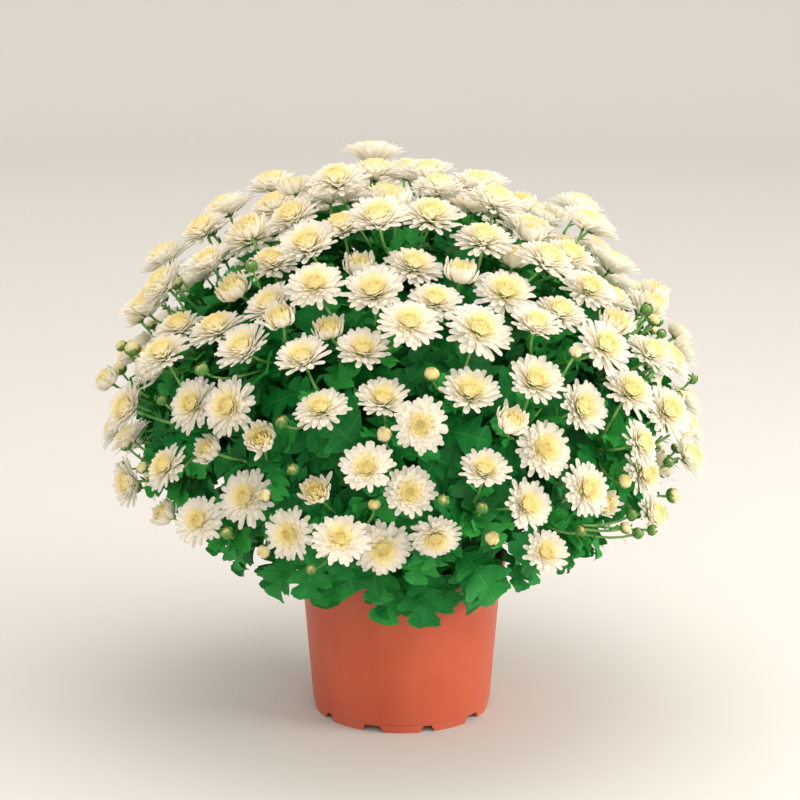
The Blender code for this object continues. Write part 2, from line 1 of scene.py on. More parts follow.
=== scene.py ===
import json
import math
import random

import bmesh
import bpy
import numpy as np
from mathutils import Matrix, Vector

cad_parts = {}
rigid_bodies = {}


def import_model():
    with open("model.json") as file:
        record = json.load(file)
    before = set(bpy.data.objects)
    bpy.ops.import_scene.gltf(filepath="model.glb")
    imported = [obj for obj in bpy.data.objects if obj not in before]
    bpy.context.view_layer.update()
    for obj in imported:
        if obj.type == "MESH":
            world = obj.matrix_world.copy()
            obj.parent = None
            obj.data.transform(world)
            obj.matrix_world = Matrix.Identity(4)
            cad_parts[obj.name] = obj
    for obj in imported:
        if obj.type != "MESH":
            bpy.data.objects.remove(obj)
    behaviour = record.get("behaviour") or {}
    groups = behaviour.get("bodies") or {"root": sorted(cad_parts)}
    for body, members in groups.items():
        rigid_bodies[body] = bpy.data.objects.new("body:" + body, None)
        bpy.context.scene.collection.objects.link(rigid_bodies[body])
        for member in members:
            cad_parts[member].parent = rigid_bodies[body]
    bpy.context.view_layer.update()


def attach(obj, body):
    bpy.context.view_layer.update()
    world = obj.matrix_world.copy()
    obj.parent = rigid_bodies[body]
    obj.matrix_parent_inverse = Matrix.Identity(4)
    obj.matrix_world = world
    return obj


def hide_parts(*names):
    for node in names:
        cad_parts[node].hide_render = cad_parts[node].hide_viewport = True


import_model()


# The pot: a 19 cm nursery pot, injection moulded in one piece from terracotta coloured
# polypropylene. Its tapered wall is thin and satin, and its foot ring, set in under a fine
# groove, is cut by ten notches, wide and narrow in turn, so that it drains on a bench.

POT_HEIGHT = 0.148
RIM_RADIUS = 0.0950
LIP_OVERHANG = 0.0028
LIP_HEIGHT = 0.007
LIP_CHAMFER = 0.0005
BASE_RADIUS = 0.0840
WALL = 0.0017
FOOT_HEIGHT = 0.0085
FOOT_INSET = 0.0016
FOOT_WALL = 0.0026
GROOVE_SLOPE = 0.0004
FLOOR_UNDERSIDE = 0.0060
FLOOR_TOP = 0.0080
POT_SIDES = 180
NOTCHES = 10
NOTCH_HEIGHT = 0.0062
NOTCH_WIDTHS = (0.0145, 0.0075)
NOTCH_SLOPE = 0.0042
NOTCH_REACH = 0.010
NOTCH_PAST = 0.0015
FIRST_NOTCH = math.radians(-109)
DRAIN_HOLES = 5
DRAIN_RADIUS = 0.0050
DRAIN_CIRCLE = 0.055
DRAIN_PAST = 0.002
DRAIN_SIDES = 24
EDGE_ROUND = 0.0006
SHARP_EDGE = math.radians(32)
PLASTIC = "#c4593c"
PLASTIC_FADED = "#cb6144"
PLASTIC_DARK = "#bb5236"
PLASTIC_DUST = "#c08468"


def linear(hex_colour):
    """An sRGB hex colour as the linear colour that shaders take."""
    shares = [int(hex_colour[k:k + 2], 16) / 255 for k in (1, 3, 5)]
    return (*[s / 12.92 if s <= 0.04045 else ((s + 0.055) / 1.055) ** 2.4 for s in shares], 1.0)


def wire(tree, node, inputs):
    """Sets a node's inputs, each from a value, a node or a socket."""
    for key, value in inputs.items():
        if isinstance(value, bpy.types.Node):
            value = value.outputs[0]
        if isinstance(value, bpy.types.NodeSocket):
            tree.links.new(value, node.inputs[key])
        else:
            node.inputs[key].default_value = value


def add(tree, kind, inputs=None, **settings):
    """Adds one node with its settings and its inputs."""
    node = tree.nodes.new(kind)
    for name, value in settings.items():
        setattr(node, name, value)
    wire(tree, node, inputs or {})
    return node


def calc(tree, operation, *values):
    return add(tree, "ShaderNodeMath", dict(enumerate(values)), operation=operation)


def mapped(tree, value, low, high, at_low, at_high):
    """The value carried over from the stretch between low and high to another stretch."""
    return add(tree, "ShaderNodeMapRange", {0: value, 1: low, 2: high, 3: at_low, 4: at_high})


def noise(tree, place, scale, detail, roughness=0.5):
    return add(tree, "ShaderNodeTexNoise",
               {"Vector": place, "Scale": scale, "Detail": detail, "Roughness": roughness})


def blend(tree, share, first, second):
    """The first colour, passing into the second as the share grows."""
    return add(tree, "ShaderNodeMix", {0: share, 6: first, 7: second}, data_type="RGBA").outputs[2]


def ramp(tree, share, stops):
    """Colours along a share from 0 to 1, each stop a place and a hex colour."""
    node = add(tree, "ShaderNodeValToRGB", {0: share})
    while len(node.color_ramp.elements) < len(stops):
        node.color_ramp.elements.new(1.0)
    for element, (place, colour) in zip(node.color_ramp.elements, stops):
        element.position = place
        element.color = linear(colour)
    return node


def relief(tree, height, strength, distance):
    return add(tree, "ShaderNodeBump", {"Strength": strength, "Distance": distance, "Height": height})


def new_finish(name, **sockets):
    """A new material, its node tree and its Principled shader with the uniform sockets set."""
    made = bpy.data.materials.new(name)
    made.use_nodes = True
    shader = made.node_tree.nodes["Principled BSDF"]
    for socket, value in sockets.items():
        shader.inputs[socket.replace("_", " ")].default_value = value
    return made, made.node_tree, shader


def place_of(tree):
    """The place of each point in its object's own space."""
    return add(tree, "ShaderNodeTexCoord").outputs["Object"]


def new_rule(name, **inputs):
    """A new Geometry Nodes tree, and the sockets that give its named inputs."""
    tree = bpy.data.node_groups.new(name, "GeometryNodeTree")
    tree.interface.new_socket("Geometry", in_out="OUTPUT", socket_type="NodeSocketGeometry")
    tree.interface.new_socket("Geometry", in_out="INPUT", socket_type="NodeSocketGeometry")
    for label, kind in inputs.items():
        tree.interface.new_socket(label.replace("_", " "), in_out="INPUT", socket_type="NodeSocket" + kind)
    return tree, tree.nodes.new("NodeGroupInput").outputs


def set_on(tree, points, group, which, turn, size=(1, 1, 1)):
    """Sets one of a collection's shapes at each point, turned and sized."""
    shapes = add(tree, "GeometryNodeCollectionInfo", {0: group, "Separate Children": True})
    return add(tree, "GeometryNodeInstanceOnPoints",
               {"Points": points, "Instance": shapes, "Pick Instance": True, "Instance Index": which,
                "Rotation": turn, "Scale": size})


def end_rule(tree, geometry, finish, smooth=False):
    """Ends a tree: it makes the instances real and sets their material."""
    solid = add(tree, "GeometryNodeRealizeInstances", {0: geometry})
    if smooth:
        solid = add(tree, "GeometryNodeSetShadeSmooth", {0: solid})
    dressed = add(tree, "GeometryNodeSetMaterial", {0: solid, "Material": finish})
    add(tree, "NodeGroupOutput", {0: dressed})
    return tree


def made_by(tree, name, values, base=None):
    """A plain mesh object: what the tree makes of a base mesh with its inputs set by name."""
    host = bpy.data.objects.new(name, base or bpy.data.meshes.new(name))
    bpy.context.scene.collection.objects.link(host)
    rule = host.modifiers.new("rule", "NODES")
    rule.node_group = tree
    for item in tree.interface.items_tree:
        if item.in_out == "INPUT" and item.name in values:
            rule[item.identifier] = values[item.name]
    graph = bpy.context.evaluated_depsgraph_get()
    mesh = bpy.data.meshes.new_from_object(host.evaluated_get(graph))
    host.modifiers.clear()
    host.data = mesh
    return host


def shape_set(name, shapes):
    """A collection of shapes for a rule to pick from. It isn't part of the scene."""
    group = bpy.data.collections.new(name)
    for shape in shapes:
        for home in shape.users_collection:
            home.objects.unlink(shape)
        group.objects.link(shape)
    return group


def discard(*groups):
    for group in groups:
        for shape in list(group.objects):
            bpy.data.objects.remove(shape)
        bpy.data.collections.remove(group)


def plain_mesh(name, points, faces, edges=()):
    mesh = bpy.data.meshes.new(name)
    mesh.from_pydata(points, edges, faces)
    return mesh


def closed_mesh(name, points, faces):
    """The mesh of a closed solid, its faces turned outward."""
    mesh = plain_mesh(name, points, faces)
    shape = bmesh.new()
    shape.from_mesh(mesh)
    bmesh.ops.recalc_face_normals(shape, faces=shape.faces)
    shape.to_mesh(mesh)
    shape.free()
    return mesh


def rounded(profile, size):
    """The profile with each corner off the axis rounded by a short three-point curve."""
    made = []
    for k, (x, z) in enumerate(profile):
        corner = Vector((x, z))
        before, after = Vector(profile[k - 1]), Vector(profile[(k + 1) % len(profile)])
        if x == 0:
            made.append((x, z))
            continue
        reach = min(size, (before - corner).length * 0.45, (after - corner).length * 0.45)
        one = corner + (before - corner).normalized() * reach
        two = corner + (after - corner).normalized() * reach
        made += [tuple(one), tuple((one + two + corner * 2) / 4), tuple(two)]
    return made


def turned_mesh(name, profile, sides):
    """A closed profile turned about the upright axis."""
    points, rings, faces = [], [], []
    for radius, height in profile:
        count = 1 if radius == 0 else sides
        rings.append(range(len(points), len(points) + count))
        for k in range(count):
            angle = 2 * math.pi * k / sides
            points.append((radius * math.cos(angle), radius * math.sin(angle), height))
    for first, second in zip(rings, [*rings[1:], rings[0]]):
        if len(first) == 1 and len(second) == 1:
            continue
        for k in range(sides):
            a, b = first[k % len(first)], first[(k + 1) % len(first)]
            c, d = second[(k + 1) % len(second)], second[k % len(second)]
            faces.append(list(dict.fromkeys((a, b, c, d))))
    return closed_mesh(name, points, faces)


def pot_profile():
    slope = (RIM_RADIUS - BASE_RADIUS) / (POT_HEIGHT - FOOT_HEIGHT)
    foot = BASE_RADIUS - FOOT_INSET
    lip = RIM_RADIUS + LIP_OVERHANG
    under_lip = POT_HEIGHT - LIP_HEIGHT
    return [
        (0, FLOOR_TOP),
        (BASE_RADIUS - WALL, FLOOR_TOP),
        (RIM_RADIUS - WALL, POT_HEIGHT),
        (lip, POT_HEIGHT),
        (lip, under_lip),
        (RIM_RADIUS - slope * LIP_HEIGHT, under_lip - LIP_CHAMFER),
        (BASE_RADIUS, FOOT_HEIGHT),
        (foot, FOOT_HEIGHT - GROOVE_SLOPE),
        (foot, 0.0),
        (foot - FOOT_WALL, 0.0),
        (foot - FOOT_WALL, FLOOR_UNDERSIDE),
        (0, FLOOR_UNDERSIDE),
    ]


def notch_block(name, width):
    """A cutter for one notch, narrower at its top and reaching past the foot ring both ways."""
    top, bottom = width / 2, width / 2 + NOTCH_SLOPE
    edge = ((-bottom, -NOTCH_PAST), (bottom, -NOTCH_PAST), (top, NOTCH_HEIGHT), (-top, NOTCH_HEIGHT))
    points = [(x, y, z) for x in (BASE_RADIUS - NOTCH_REACH, BASE_RADIUS + NOTCH_REACH) for y, z in edge]
    faces = [[k, (k + 1) % 4, 4 + (k + 1) % 4, 4 + k] for k in range(4)] + [[0, 1, 2, 3], [4, 5, 6, 7]]
    return bpy.data.objects.new(name, closed_mesh(name, points, faces))


def drain_block():
    low, high = FLOOR_UNDERSIDE - DRAIN_PAST, FLOOR_TOP + DRAIN_PAST
    profile = [(0, low), (DRAIN_RADIUS, low), (DRAIN_RADIUS, high), (0, high)]
    mesh = turned_mesh("drain", profile, DRAIN_SIDES)
    mesh.transform(Matrix.Translation((DRAIN_CIRCLE, 0, 0)))
    return bpy.data.objects.new("drain", mesh)


def cut_round_rule():
    """Cuts copies of the cutters from a turned piece, at even steps round the upright axis."""
    tree, given = new_rule("Cut round", Cutters="Collection", Cuts="Int", First_Angle="Float",
                           Finish="Material")
    points = add(tree, "GeometryNodePoints", {"Count": given["Cuts"]})
    index = add(tree, "GeometryNodeInputIndex")
    step = calc(tree, "DIVIDE", 2 * math.pi, given["Cuts"])
    angle = calc(tree, "MULTIPLY_ADD", index, step, given["First Angle"])
    turn = add(tree, "ShaderNodeCombineXYZ", {2: angle})
    placed = set_on(tree, points, given["Cutters"], index, turn)
    solid = add(tree, "GeometryNodeRealizeInstances", {0: placed})
    cut = add(tree, "GeometryNodeMeshBoolean", {0: given["Geometry"], 1: solid},
              operation="DIFFERENCE", solver="MANIFOLD")
    return end_rule(tree, cut, given["Finish"])


def pot_finish():
    """Moulded polypropylene: satin, evenly coloured, a little faded and scuffed, with the very
    fine pebbling that the mould leaves."""
    made, tree, shader = new_finish("moulded_polypropylene", IOR=1.49, Specular_IOR_Level=0.42)
    place = place_of(tree)
    cloud = noise(tree, place, 14, 3)
    drawn = noise(tree, add(tree, "ShaderNodeMapping", {0: place, 3: (90, 90, 9)}), 1.0, 3)
    both = calc(tree, "MULTIPLY_ADD", drawn, 0.35, cloud)
    colour = ramp(tree, both, [(0.42, PLASTIC_DARK), (0.66, PLASTIC), (0.95, PLASTIC_FADED)])
    height = add(tree, "ShaderNodeSeparateXYZ", {0: place}).outputs["Z"]
    dusty = calc(tree, "MULTIPLY", mapped(tree, height, 0.002, 0.020, 0.22, 0.0), cloud)
    wire(tree, shader, {"Base Color": blend(tree, dusty, colour, linear(PLASTIC_DUST)),
                        "Roughness": mapped(tree, cloud, 0.3, 0.7, 0.40, 0.47),
                        "Normal": relief(tree, noise(tree, place, 700, 2), 0.10, 0.0004)})
    return made


plastic = pot_finish()
cut_round = cut_round_rule()
notch_set = shape_set("notches", [notch_block(f"cut_{k + 1}", width) for k, width in enumerate(NOTCH_WIDTHS)])
drain_set = shape_set("drains", [drain_block()])
notched = made_by(cut_round, "pot_notched",
                  {"Cutters": notch_set, "Cuts": NOTCHES, "First Angle": FIRST_NOTCH, "Finish": plastic},
                  turned_mesh("pot", rounded(pot_profile(), EDGE_ROUND), POT_SIDES))
pot = made_by(cut_round, "nursery_pot",
              {"Cutters": drain_set, "Cuts": DRAIN_HOLES, "First Angle": FIRST_NOTCH, "Finish": plastic},
              notched.data)
bpy.data.objects.remove(notched)
pot.data.polygons.foreach_set("use_smooth", [True] * len(pot.data.polygons))
pot.data.set_sharp_from_angle(angle=SHARP_EDGE)
discard(notch_set, drain_set)
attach(pot, "root")
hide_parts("pot")


# The potting soil: a plug of peat and composted bark that fills the pot to 14 mm below its
# rim. Its top is crumbly, with loose bits of bark and a few white grains of perlite.

SOIL_TOP = 0.134
SOIL_CROWN = 0.004
SOIL_GAP = 0.0003
SOIL_RINGS = 14
SOIL_SIDES = 72
SOIL_UNEVENNESS = 0.0011
CRUMBS = 900
CRUMB_SHAPES = 5
CRUMB_RADIUS = 0.0009
CRUMB_SIZES = (0.5, 1.9)
SOIL_DARK = "#1d130c"
SOIL_MID = "#3a281a"
SOIL_LIGHT = "#5b4330"
PERLITE = "#d9d4c8"


def soil_mesh():
    slope = (RIM_RADIUS - BASE_RADIUS) / (POT_HEIGHT - FLOOR_TOP)
    inner = BASE_RADIUS - WALL - SOIL_GAP
    edge = inner + slope * (SOIL_TOP - FLOOR_TOP)
    low = FLOOR_TOP + SOIL_GAP
    profile = [(0, low), (inner, low)]
    profile += [(edge * s, SOIL_TOP + SOIL_CROWN * (1 - s * s)) for s in np.linspace(1.0, 0.08, SOIL_RINGS)]
    profile.append((0.0, SOIL_TOP + SOIL_CROWN))
    mesh = turned_mesh("soil", profile, SOIL_SIDES)
    rng = random.Random(5)
    for vertex in mesh.vertices:
        if vertex.co.z > SOIL_TOP + 0.0001:
            vertex.co.z += rng.uniform(-SOIL_UNEVENNESS, SOIL_UNEVENNESS)
    return mesh


def crumb(name, seed):
    """One bit of bark or grit, nearly two millimetres across."""
    shape = bmesh.new()
    bmesh.ops.create_icosphere(shape, subdivisions=1, radius=CRUMB_RADIUS)
    rng = random.Random(seed)
    for vertex in shape.verts:
        vertex.co *= rng.uniform(0.6, 1.35)
        vertex.co.z *= 0.6
    mesh = bpy.data.meshes.new(name)
    shape.to_mesh(mesh)
    shape.free()
    return bpy.data.objects.new(name, mesh)


def random_value(tree, kind, least, most, seed):
    """A random value of its own for each point."""
    first = ("FLOAT_VECTOR", "FLOAT", "INT").index(kind)
    return add(tree, "FunctionNodeRandomValue", {2 * first: least, 2 * first + 1: most, "Seed": seed},
               data_type=kind).outputs[first]


def keep_value(tree, points, label, value):
    """Keeps a value with each point, for the material to read."""
    return add(tree, "GeometryNodeStoreNamedAttribute", {0: points, "Name": label, "Value": value},
               data_type="FLOAT", domain="POINT")


def kept_value(tree, label):
    return add(tree, "ShaderNodeAttribute", attribute_name=label).outputs["Fac"]


def crumbs_rule():
    """Strews crumbs over the upper side of the plug, sunk a little, and keeps the plug itself."""
    tree, given = new_rule("Crumbs", Crumb_Shapes="Collection", Crumbs_Per_Square_Metre="Float",
                           Least_Size="Float", Most_Size="Float", Seed="Int", Finish="Material")
    up = add(tree, "ShaderNodeSeparateXYZ", {0: add(tree, "GeometryNodeInputNormal")}).outputs["Z"]
    level = add(tree, "FunctionNodeCompare", {0: up, 1: 0.5}, operation="GREATER_THAN")
    strewn = add(tree, "GeometryNodeDistributePointsOnFaces",
                 {"Mesh": given["Geometry"], "Selection": level,
                  "Density": given["Crumbs Per Square Metre"], "Seed": given["Seed"]})
    toned = keep_value(tree, strewn, "tone", random_value(tree, "FLOAT", 0.0, 1.0, 6))
    placed = set_on(tree, toned, given["Crumb Shapes"], random_value(tree, "INT", 0, 99, 5),
                    random_value(tree, "FLOAT_VECTOR", (0, 0, 0), (6.3, 6.3, 6.3), 3),
                    random_value(tree, "FLOAT", given["Least Size"], given["Most Size"], 4))
    joined = add(tree, "GeometryNodeJoinGeometry", {0: given["Geometry"]})
    tree.links.new(placed.outputs[0], joined.inputs[0])
    return end_rule(tree, joined, given["Finish"])


def soil_finish():
    """Peat compost, quite matt: the clods that make its relief also colour it, almost black where they sink
    and brown where they rise.
    """
    made, tree, shader = new_finish("potting_compost", Roughness=0.94, Specular_IOR_Level=0.25)
    place = place_of(tree)
    clods = noise(tree, place, 260, 5, 0.65)
    tone = kept_value(tree, "tone")
    share = calc(tree, "MULTIPLY_ADD", tone, 0.35, clods)
    brown = ramp(tree, share, [(0.35, SOIL_DARK), (0.62, SOIL_MID), (0.9, SOIL_LIGHT)])
    white = calc(tree, "GREATER_THAN", tone, 0.955)
    wire(tree, shader, {"Base Color": blend(tree, white, brown, linear(PERLITE)),
                        "Normal": relief(tree, clods, 0.7, 0.0012)})
    return made


crumb_set = shape_set("crumbs", [crumb(f"crumb_{k}", k) for k in range(CRUMB_SHAPES)])
soil = made_by(crumbs_rule(), "potting_compost",
               {"Crumb Shapes": crumb_set, "Crumbs Per Square Metre": CRUMBS / (math.pi * RIM_RADIUS**2),
                "Least Size": CRUMB_SIZES[0], "Most Size": CRUMB_SIZES[1], "Seed": 2,
                "Finish": soil_finish()}, soil_mesh())
discard(crumb_set)
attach(soil, "root")
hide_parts("potting_soil")


# The stems: six woody main stems stand in the soil, lean outward and branch, and each branch
# ends in a spray of thin green flower stalks. The heads lie in a dome, by the solid model's
# own rule and draws, and are then turned up to the light a little more.

MAIN_STEMS = 6
MAIN_STEM_RADIUS = 0.0046
MAIN_STEM_CIRCLE = 0.026
MIDDLE_STEM_OFFSET = 0.003
STEM_SINK = 0.030
MAIN_FORK_CIRCLE = 0.062
MAIN_FORK_Z = 0.205
MAIN_STEM_STEPS = 7
MIDDLE_STEM_REACH = 0.030
BRANCH_RADII = (0.0030, 0.0019)
BRANCH_SINK = 0.012
BRANCH_RISE = 0.10
BRANCH_STEPS = 6
BRANCH_WOOD = 0.55
STALK_RADII = (0.0015, 0.0012)
STALK_NECK = 1.35
BUD_STALK = 0.85
STALK_SPREAD = 0.004
STALK_SINK = 0.002
STALK_STEPS = 8
STALK_BOW = 0.36
STEM_SIDES = 6
DOME_WAIST_Z = 0.282
DOME_RADIUS = 0.268
DOME_RISE = 0.227
DOME_DROP = 0.185
LOWEST_HEAD = math.radians(110)
TOP_CROWDING = 1.36
GOLDEN_ANGLE = math.pi * (3 - math.sqrt(5))
SPRAYS = 57
SPRAY_INSET = 0.068
SPRAY_DROP = 0.022
OPEN_HEADS = 164
HALF_OPEN_HEADS = 52
HEAD_SEED = 6076
HEAD_RADII = {"open": (0.0218, 0.0262), "half_open": (0.0125, 0.0170)}
HEAD_GROWTH = (1.10, 0.93)  # of the heads at the top, and of the lowest ones
HEAD_INSETS = (-0.014, 0.026)
HEAD_JITTER = 0.075
HEAD_LIFT = (-0.08, 0.62)
HEAD_LEAN = 0.22
HEAD_GAP = 0.0012
BASE_DEPTHS = {"open": 0.0075, "half_open": 0.0100}
MOST_NOD = math.radians(48)
TURN_UP = {"open": (0.0, 0.34), "half_open": (0.2, 0.6), "bud": (0.3, 0.7)}
SPREAD_STEPS = 120
BUD_PLACES = 420
BUD_INSETS = (-0.004, 0.014)
BUD_RADII = (0.00435, 0.00725)
EDGE_BUD_PLACES = 480
EDGE_BUD_ANGLES = (math.radians(38), math.radians(112))
EDGE_BUD_INSETS = (-0.018, -0.002)
EDGE_BUD_RADII = (0.0038, 0.0060)
EDGE_BUD_GAP = 0.001
FACED_REACH = 0.070
FACED_ANGLE = 1.1
STEM_GREEN = "#4f9140"
STEM_PALE = "#93bf70"
STEM_WOODY = "#6b6a3f"


def on_dome(points, insets):
    """Moves each point along the dome's rays to its own inset below the dome of heads."""
    flat = np.hypot(points[:, 0], points[:, 1])
    rise = np.where(points[:, 2] >= DOME_WAIST_Z, DOME_RISE, DOME_DROP) - insets
    across = DOME_RADIUS - insets
    theta = np.minimum(np.arctan2(flat / across, (points[:, 2] - DOME_WAIST_Z) / rise), LOWEST_HEAD)
    phi = np.arctan2(points[:, 1], points[:, 0])
    rise = np.where(theta <= math.pi / 2, DOME_RISE, DOME_DROP) - insets
    sine = across * np.sin(theta)
    return np.stack((sine * np.cos(phi), sine * np.sin(phi), DOME_WAIST_Z + rise * np.cos(theta)), 1)


def dome_point(theta, phi, inset=0.0):
    rise = (DOME_RISE if theta <= math.pi / 2 else DOME_DROP) - inset
    sine = (DOME_RADIUS - inset) * math.sin(theta)
    return Vector((sine * math.cos(phi), sine * math.sin(phi), DOME_WAIST_Z + rise * math.cos(theta)))


def dome_normal(point):
    rise = DOME_RISE if point.z >= DOME_WAIST_Z else DOME_DROP
    flat = Vector((point.x, point.y, 0)) / DOME_RADIUS**2
    return (flat + Vector((0, 0, (point.z - DOME_WAIST_Z) / rise**2))).normalized()


def lattice_angles(count, index, crowding=1.0):
    """The index-th of count places spread evenly over the dome from its top to its lowest heads."""
    share = ((index + 0.5) / count) ** crowding
    return math.acos(1 - (1 - math.cos(LOWEST_HEAD)) * share), index * GOLDEN_ANGLE


def spread_apart(points, radii, insets):
    """Pushes heads along the dome until none overlap, then trims the few that still would."""
    reach = radii[:, None] + radii[None] + HEAD_GAP
    for _ in range(SPREAD_STEPS):
        apart = points[:, None] - points[None]
        distance = np.linalg.norm(apart, axis=2) + np.eye(len(points))
        short = np.clip(reach - distance, 0, None) * (1 - np.eye(len(points)))
        points = points + (apart * (0.5 * short / distance)[..., None]).sum(axis=1)
        points = on_dome(points, insets)
    distance = np.linalg.norm(points[:, None] - points[None], axis=2) + np.eye(len(points))
    fit = np.where(np.eye(len(points)) > 0, 1.0, (distance - HEAD_GAP) / (radii[:, None] + radii[None]))
    return points, radii * np.minimum(fit.min(axis=1), 1.0)


def head_axis(point, rng):
    """The way a head faces: out from the dome and leaning a little. Low heads turn up most."""
    lean = Vector([rng.uniform(-HEAD_LEAN, HEAD_LEAN) for _ in range(3)])
    normal = dome_normal(point)
    lift = rng.uniform(*HEAD_LIFT) * (1.3 - normal.z)
    return (normal + Vector((0, 0, lift)) + lean).normalized()


def flower_heads():
    rng = random.Random(HEAD_SEED)
    stages = ["open"] * OPEN_HEADS + ["half_open"] * HALF_OPEN_HEADS
    rng.shuffle(stages)
    points, radii, insets = [], [], []
    for index, stage in enumerate(stages):
        theta, phi = lattice_angles(len(stages), index, TOP_CROWDING)
        theta = abs(theta + rng.uniform(-HEAD_JITTER, HEAD_JITTER))
        phi += rng.uniform(-HEAD_JITTER, HEAD_JITTER) / max(math.sin(theta), 0.2)
        insets.append(rng.uniform(*HEAD_INSETS))
        growth = float(np.interp(theta, (0, LOWEST_HEAD), HEAD_GROWTH))
        radii.append(rng.uniform(*HEAD_RADII[stage]) * growth)
        points.append(dome_point(theta, phi, insets[-1]))
    points, radii = spread_apart(np.array(points), np.array(radii), np.array(insets))
    heads = []
    for stage, point, radius in zip(stages, points, radii):
        middle = Vector(point)
        heads.append({"stage": stage, "radius": float(radius), "middle": middle,
                      "axis": head_axis(middle, rng)})
    return heads


def flower_buds(heads):
    """Buds in the gaps between the heads."""
    rng = random.Random(HEAD_SEED + 1)
    buds = []
    for index in range(BUD_PLACES):
        theta, phi = lattice_angles(BUD_PLACES, index)
        middle = dome_point(theta, phi + 1.0, rng.uniform(*BUD_INSETS))
        radius = rng.uniform(*BUD_RADII)
        near = min((middle - h["middle"]).length - h["radius"] for h in heads + buds)
        if near > radius + HEAD_GAP:
            buds.append({"stage": "bud", "radius": radius, "middle": middle, "axis": head_axis(middle, rng)})
    return buds


def edge_buds(heads):
    """Small buds that stand out of the sides of the dome on thin stalks of their own, and not in
    front of a head."""
    rng = random.Random(HEAD_SEED + 2)
    buds = []
    for index in range(EDGE_BUD_PLACES):
        theta = rng.uniform(*EDGE_BUD_ANGLES)
        middle = dome_point(theta, index * GOLDEN_ANGLE, rng.uniform(*EDGE_BUD_INSETS))
        radius = rng.uniform(*EDGE_BUD_RADII)
        off = [middle - head["middle"] for head in heads + buds]
        near = min(way.length - head["radius"] for way, head in zip(off, heads + buds))
        faced = any(way.length < FACED_REACH and way.angle(head["axis"]) < FACED_ANGLE
                    for way, head in zip(off, heads))
        if near > radius + EDGE_BUD_GAP and not faced:
            buds.append({"stage": "bud", "radius": radius, "middle": middle, "axis": head_axis(middle, rng)})
    return buds


def turn_up(heads):
    """Turns each head up towards the light by its own share of the way, the small ones most."""
    rng = random.Random(HEAD_SEED + 3)
    for head in heads:
        share = rng.uniform(*TURN_UP[head["stage"]])
        head["axis"] = head["axis"].lerp(Vector((0, 0, 1)), share).normalized()


def sprays_of(heads):
    """The heads by sprays, each with the root that its stalks spring from. No head nods further
    off its stalk than a real neck bends."""
    places = [dome_point(*lattice_angles(SPRAYS, k)) for k in range(SPRAYS)]
    groups = [[] for _ in places]
    for head in heads:
        groups[min(range(SPRAYS), key=lambda k: (head["middle"] - places[k]).length)].append(head)
    sprays = []
    for group in groups:
        blooms = [head["middle"] for head in group if head["stage"] != "bud"]
        if not blooms:
            continue
        middle = sum(blooms, Vector()) / len(blooms)
        root = Vector(on_dome(np.array([middle]), np.array([SPRAY_INSET]))[0])
        root.z -= SPRAY_DROP
        for head in group:
            way = (head["middle"] - root).normalized()
            nod = way.angle(head["axis"])
            if nod > MOST_NOD:
                head["axis"] = way.slerp(head["axis"], MOST_NOD / nod)
        sprays.append({"root": root, "heads": group})
    return sprays


def head_base(head):
    """Where a stalk meets its head: a bud's own radius below its middle, or a set depth."""
    return head["middle"] - head["axis"] * BASE_DEPTHS.get(head["stage"], head["radius"])


def bowed(start, start_way, end, end_way, steps, bow=0.38):
    """Points along a smooth bow that leaves start one way and comes into end another way."""
    reach = (end - start).length * bow
    one, two = start + start_way.normalized() * reach, end - end_way.normalized() * reach
    made = []
    for t in np.linspace(0, 1, steps + 1):
        u = 1 - t
        made.append(start * u**3 + one * (3 * u * u * t) + two * (3 * u * t * t) + end * t**3)
    return made


def main_stem_lines(sprays):
    """Each main stem from its foot to its fork, and a branch from there to each near spray."""
    lines, forks = [], []
    for k in range(MAIN_STEMS):
        angle = 2 * math.pi * (k - 1) / (MAIN_STEMS - 1)
        way = Vector((math.cos(angle), math.sin(angle), 0))
        foot = way * (MAIN_STEM_CIRCLE if k else MIDDLE_STEM_OFFSET)
        foot.z = SOIL_TOP - STEM_SINK
        fork = way * (MAIN_FORK_CIRCLE if k else 0.0)
        fork.z = MAIN_FORK_Z
        line = bowed(foot, Vector((0, 0, 1)), fork, fork - foot, MAIN_STEM_STEPS)
        lines.append((line, np.linspace(MAIN_STEM_RADIUS, BRANCH_RADII[0] * 1.25, len(line)), 1.0))
        forks.append(fork)
    for spray in sprays:
        root = spray["root"]
        fork = min(forks, key=lambda f: (root - f).length - (MIDDLE_STEM_REACH if f is forks[0] else 0.0))
        begin = fork - Vector((0, 0, BRANCH_SINK))
        way = Vector((fork.x, fork.y, BRANCH_RISE))
        line = bowed(begin, way, root, dome_normal(root) + (root - begin) * 4, BRANCH_STEPS)
        lines.append((line, np.linspace(*BRANCH_RADII, len(line)), BRANCH_WOOD))
    return lines


def stalk_line(head, root, rng):
    """A flower stalk, from beside the spray's root to the underside of its head."""
    base = head_base(head)
    start = root + Vector([rng.uniform(-STALK_SPREAD, STALK_SPREAD) for _ in range(3)])
    straight = (base - start).normalized()
    return bowed(start, straight + dome_normal(root) * 0.45, base + head["axis"] * STALK_SINK,
                 head["axis"] + straight * 0.5, STALK_STEPS, STALK_BOW)


def mark_points(mesh, label, values, kind="FLOAT"):
    """Gives each point of a mesh its own value under a label."""
    field = "vector" if kind == "FLOAT_VECTOR" else "value"
    mesh.attributes.new(label, kind, "POINT").data.foreach_set(field, values)


def stem_mesh(name, lines):
    """The lines as edges, with the thickness and the age of the wood at each point."""
    points, edges, thickness, wood = [], [], [], []
    for line, radii, woody in lines:
        edges += [(len(points) + k, len(points) + k + 1) for k in range(len(line) - 1)]
        points += [tuple(p) for p in line]
        thickness += [float(r) for r in radii]
        wood += [woody] * len(line)
    mesh = plain_mesh(name, points, [], edges)
    mark_points(mesh, "thickness", thickness)
    mark_points(mesh, "wood", wood)
    return mesh


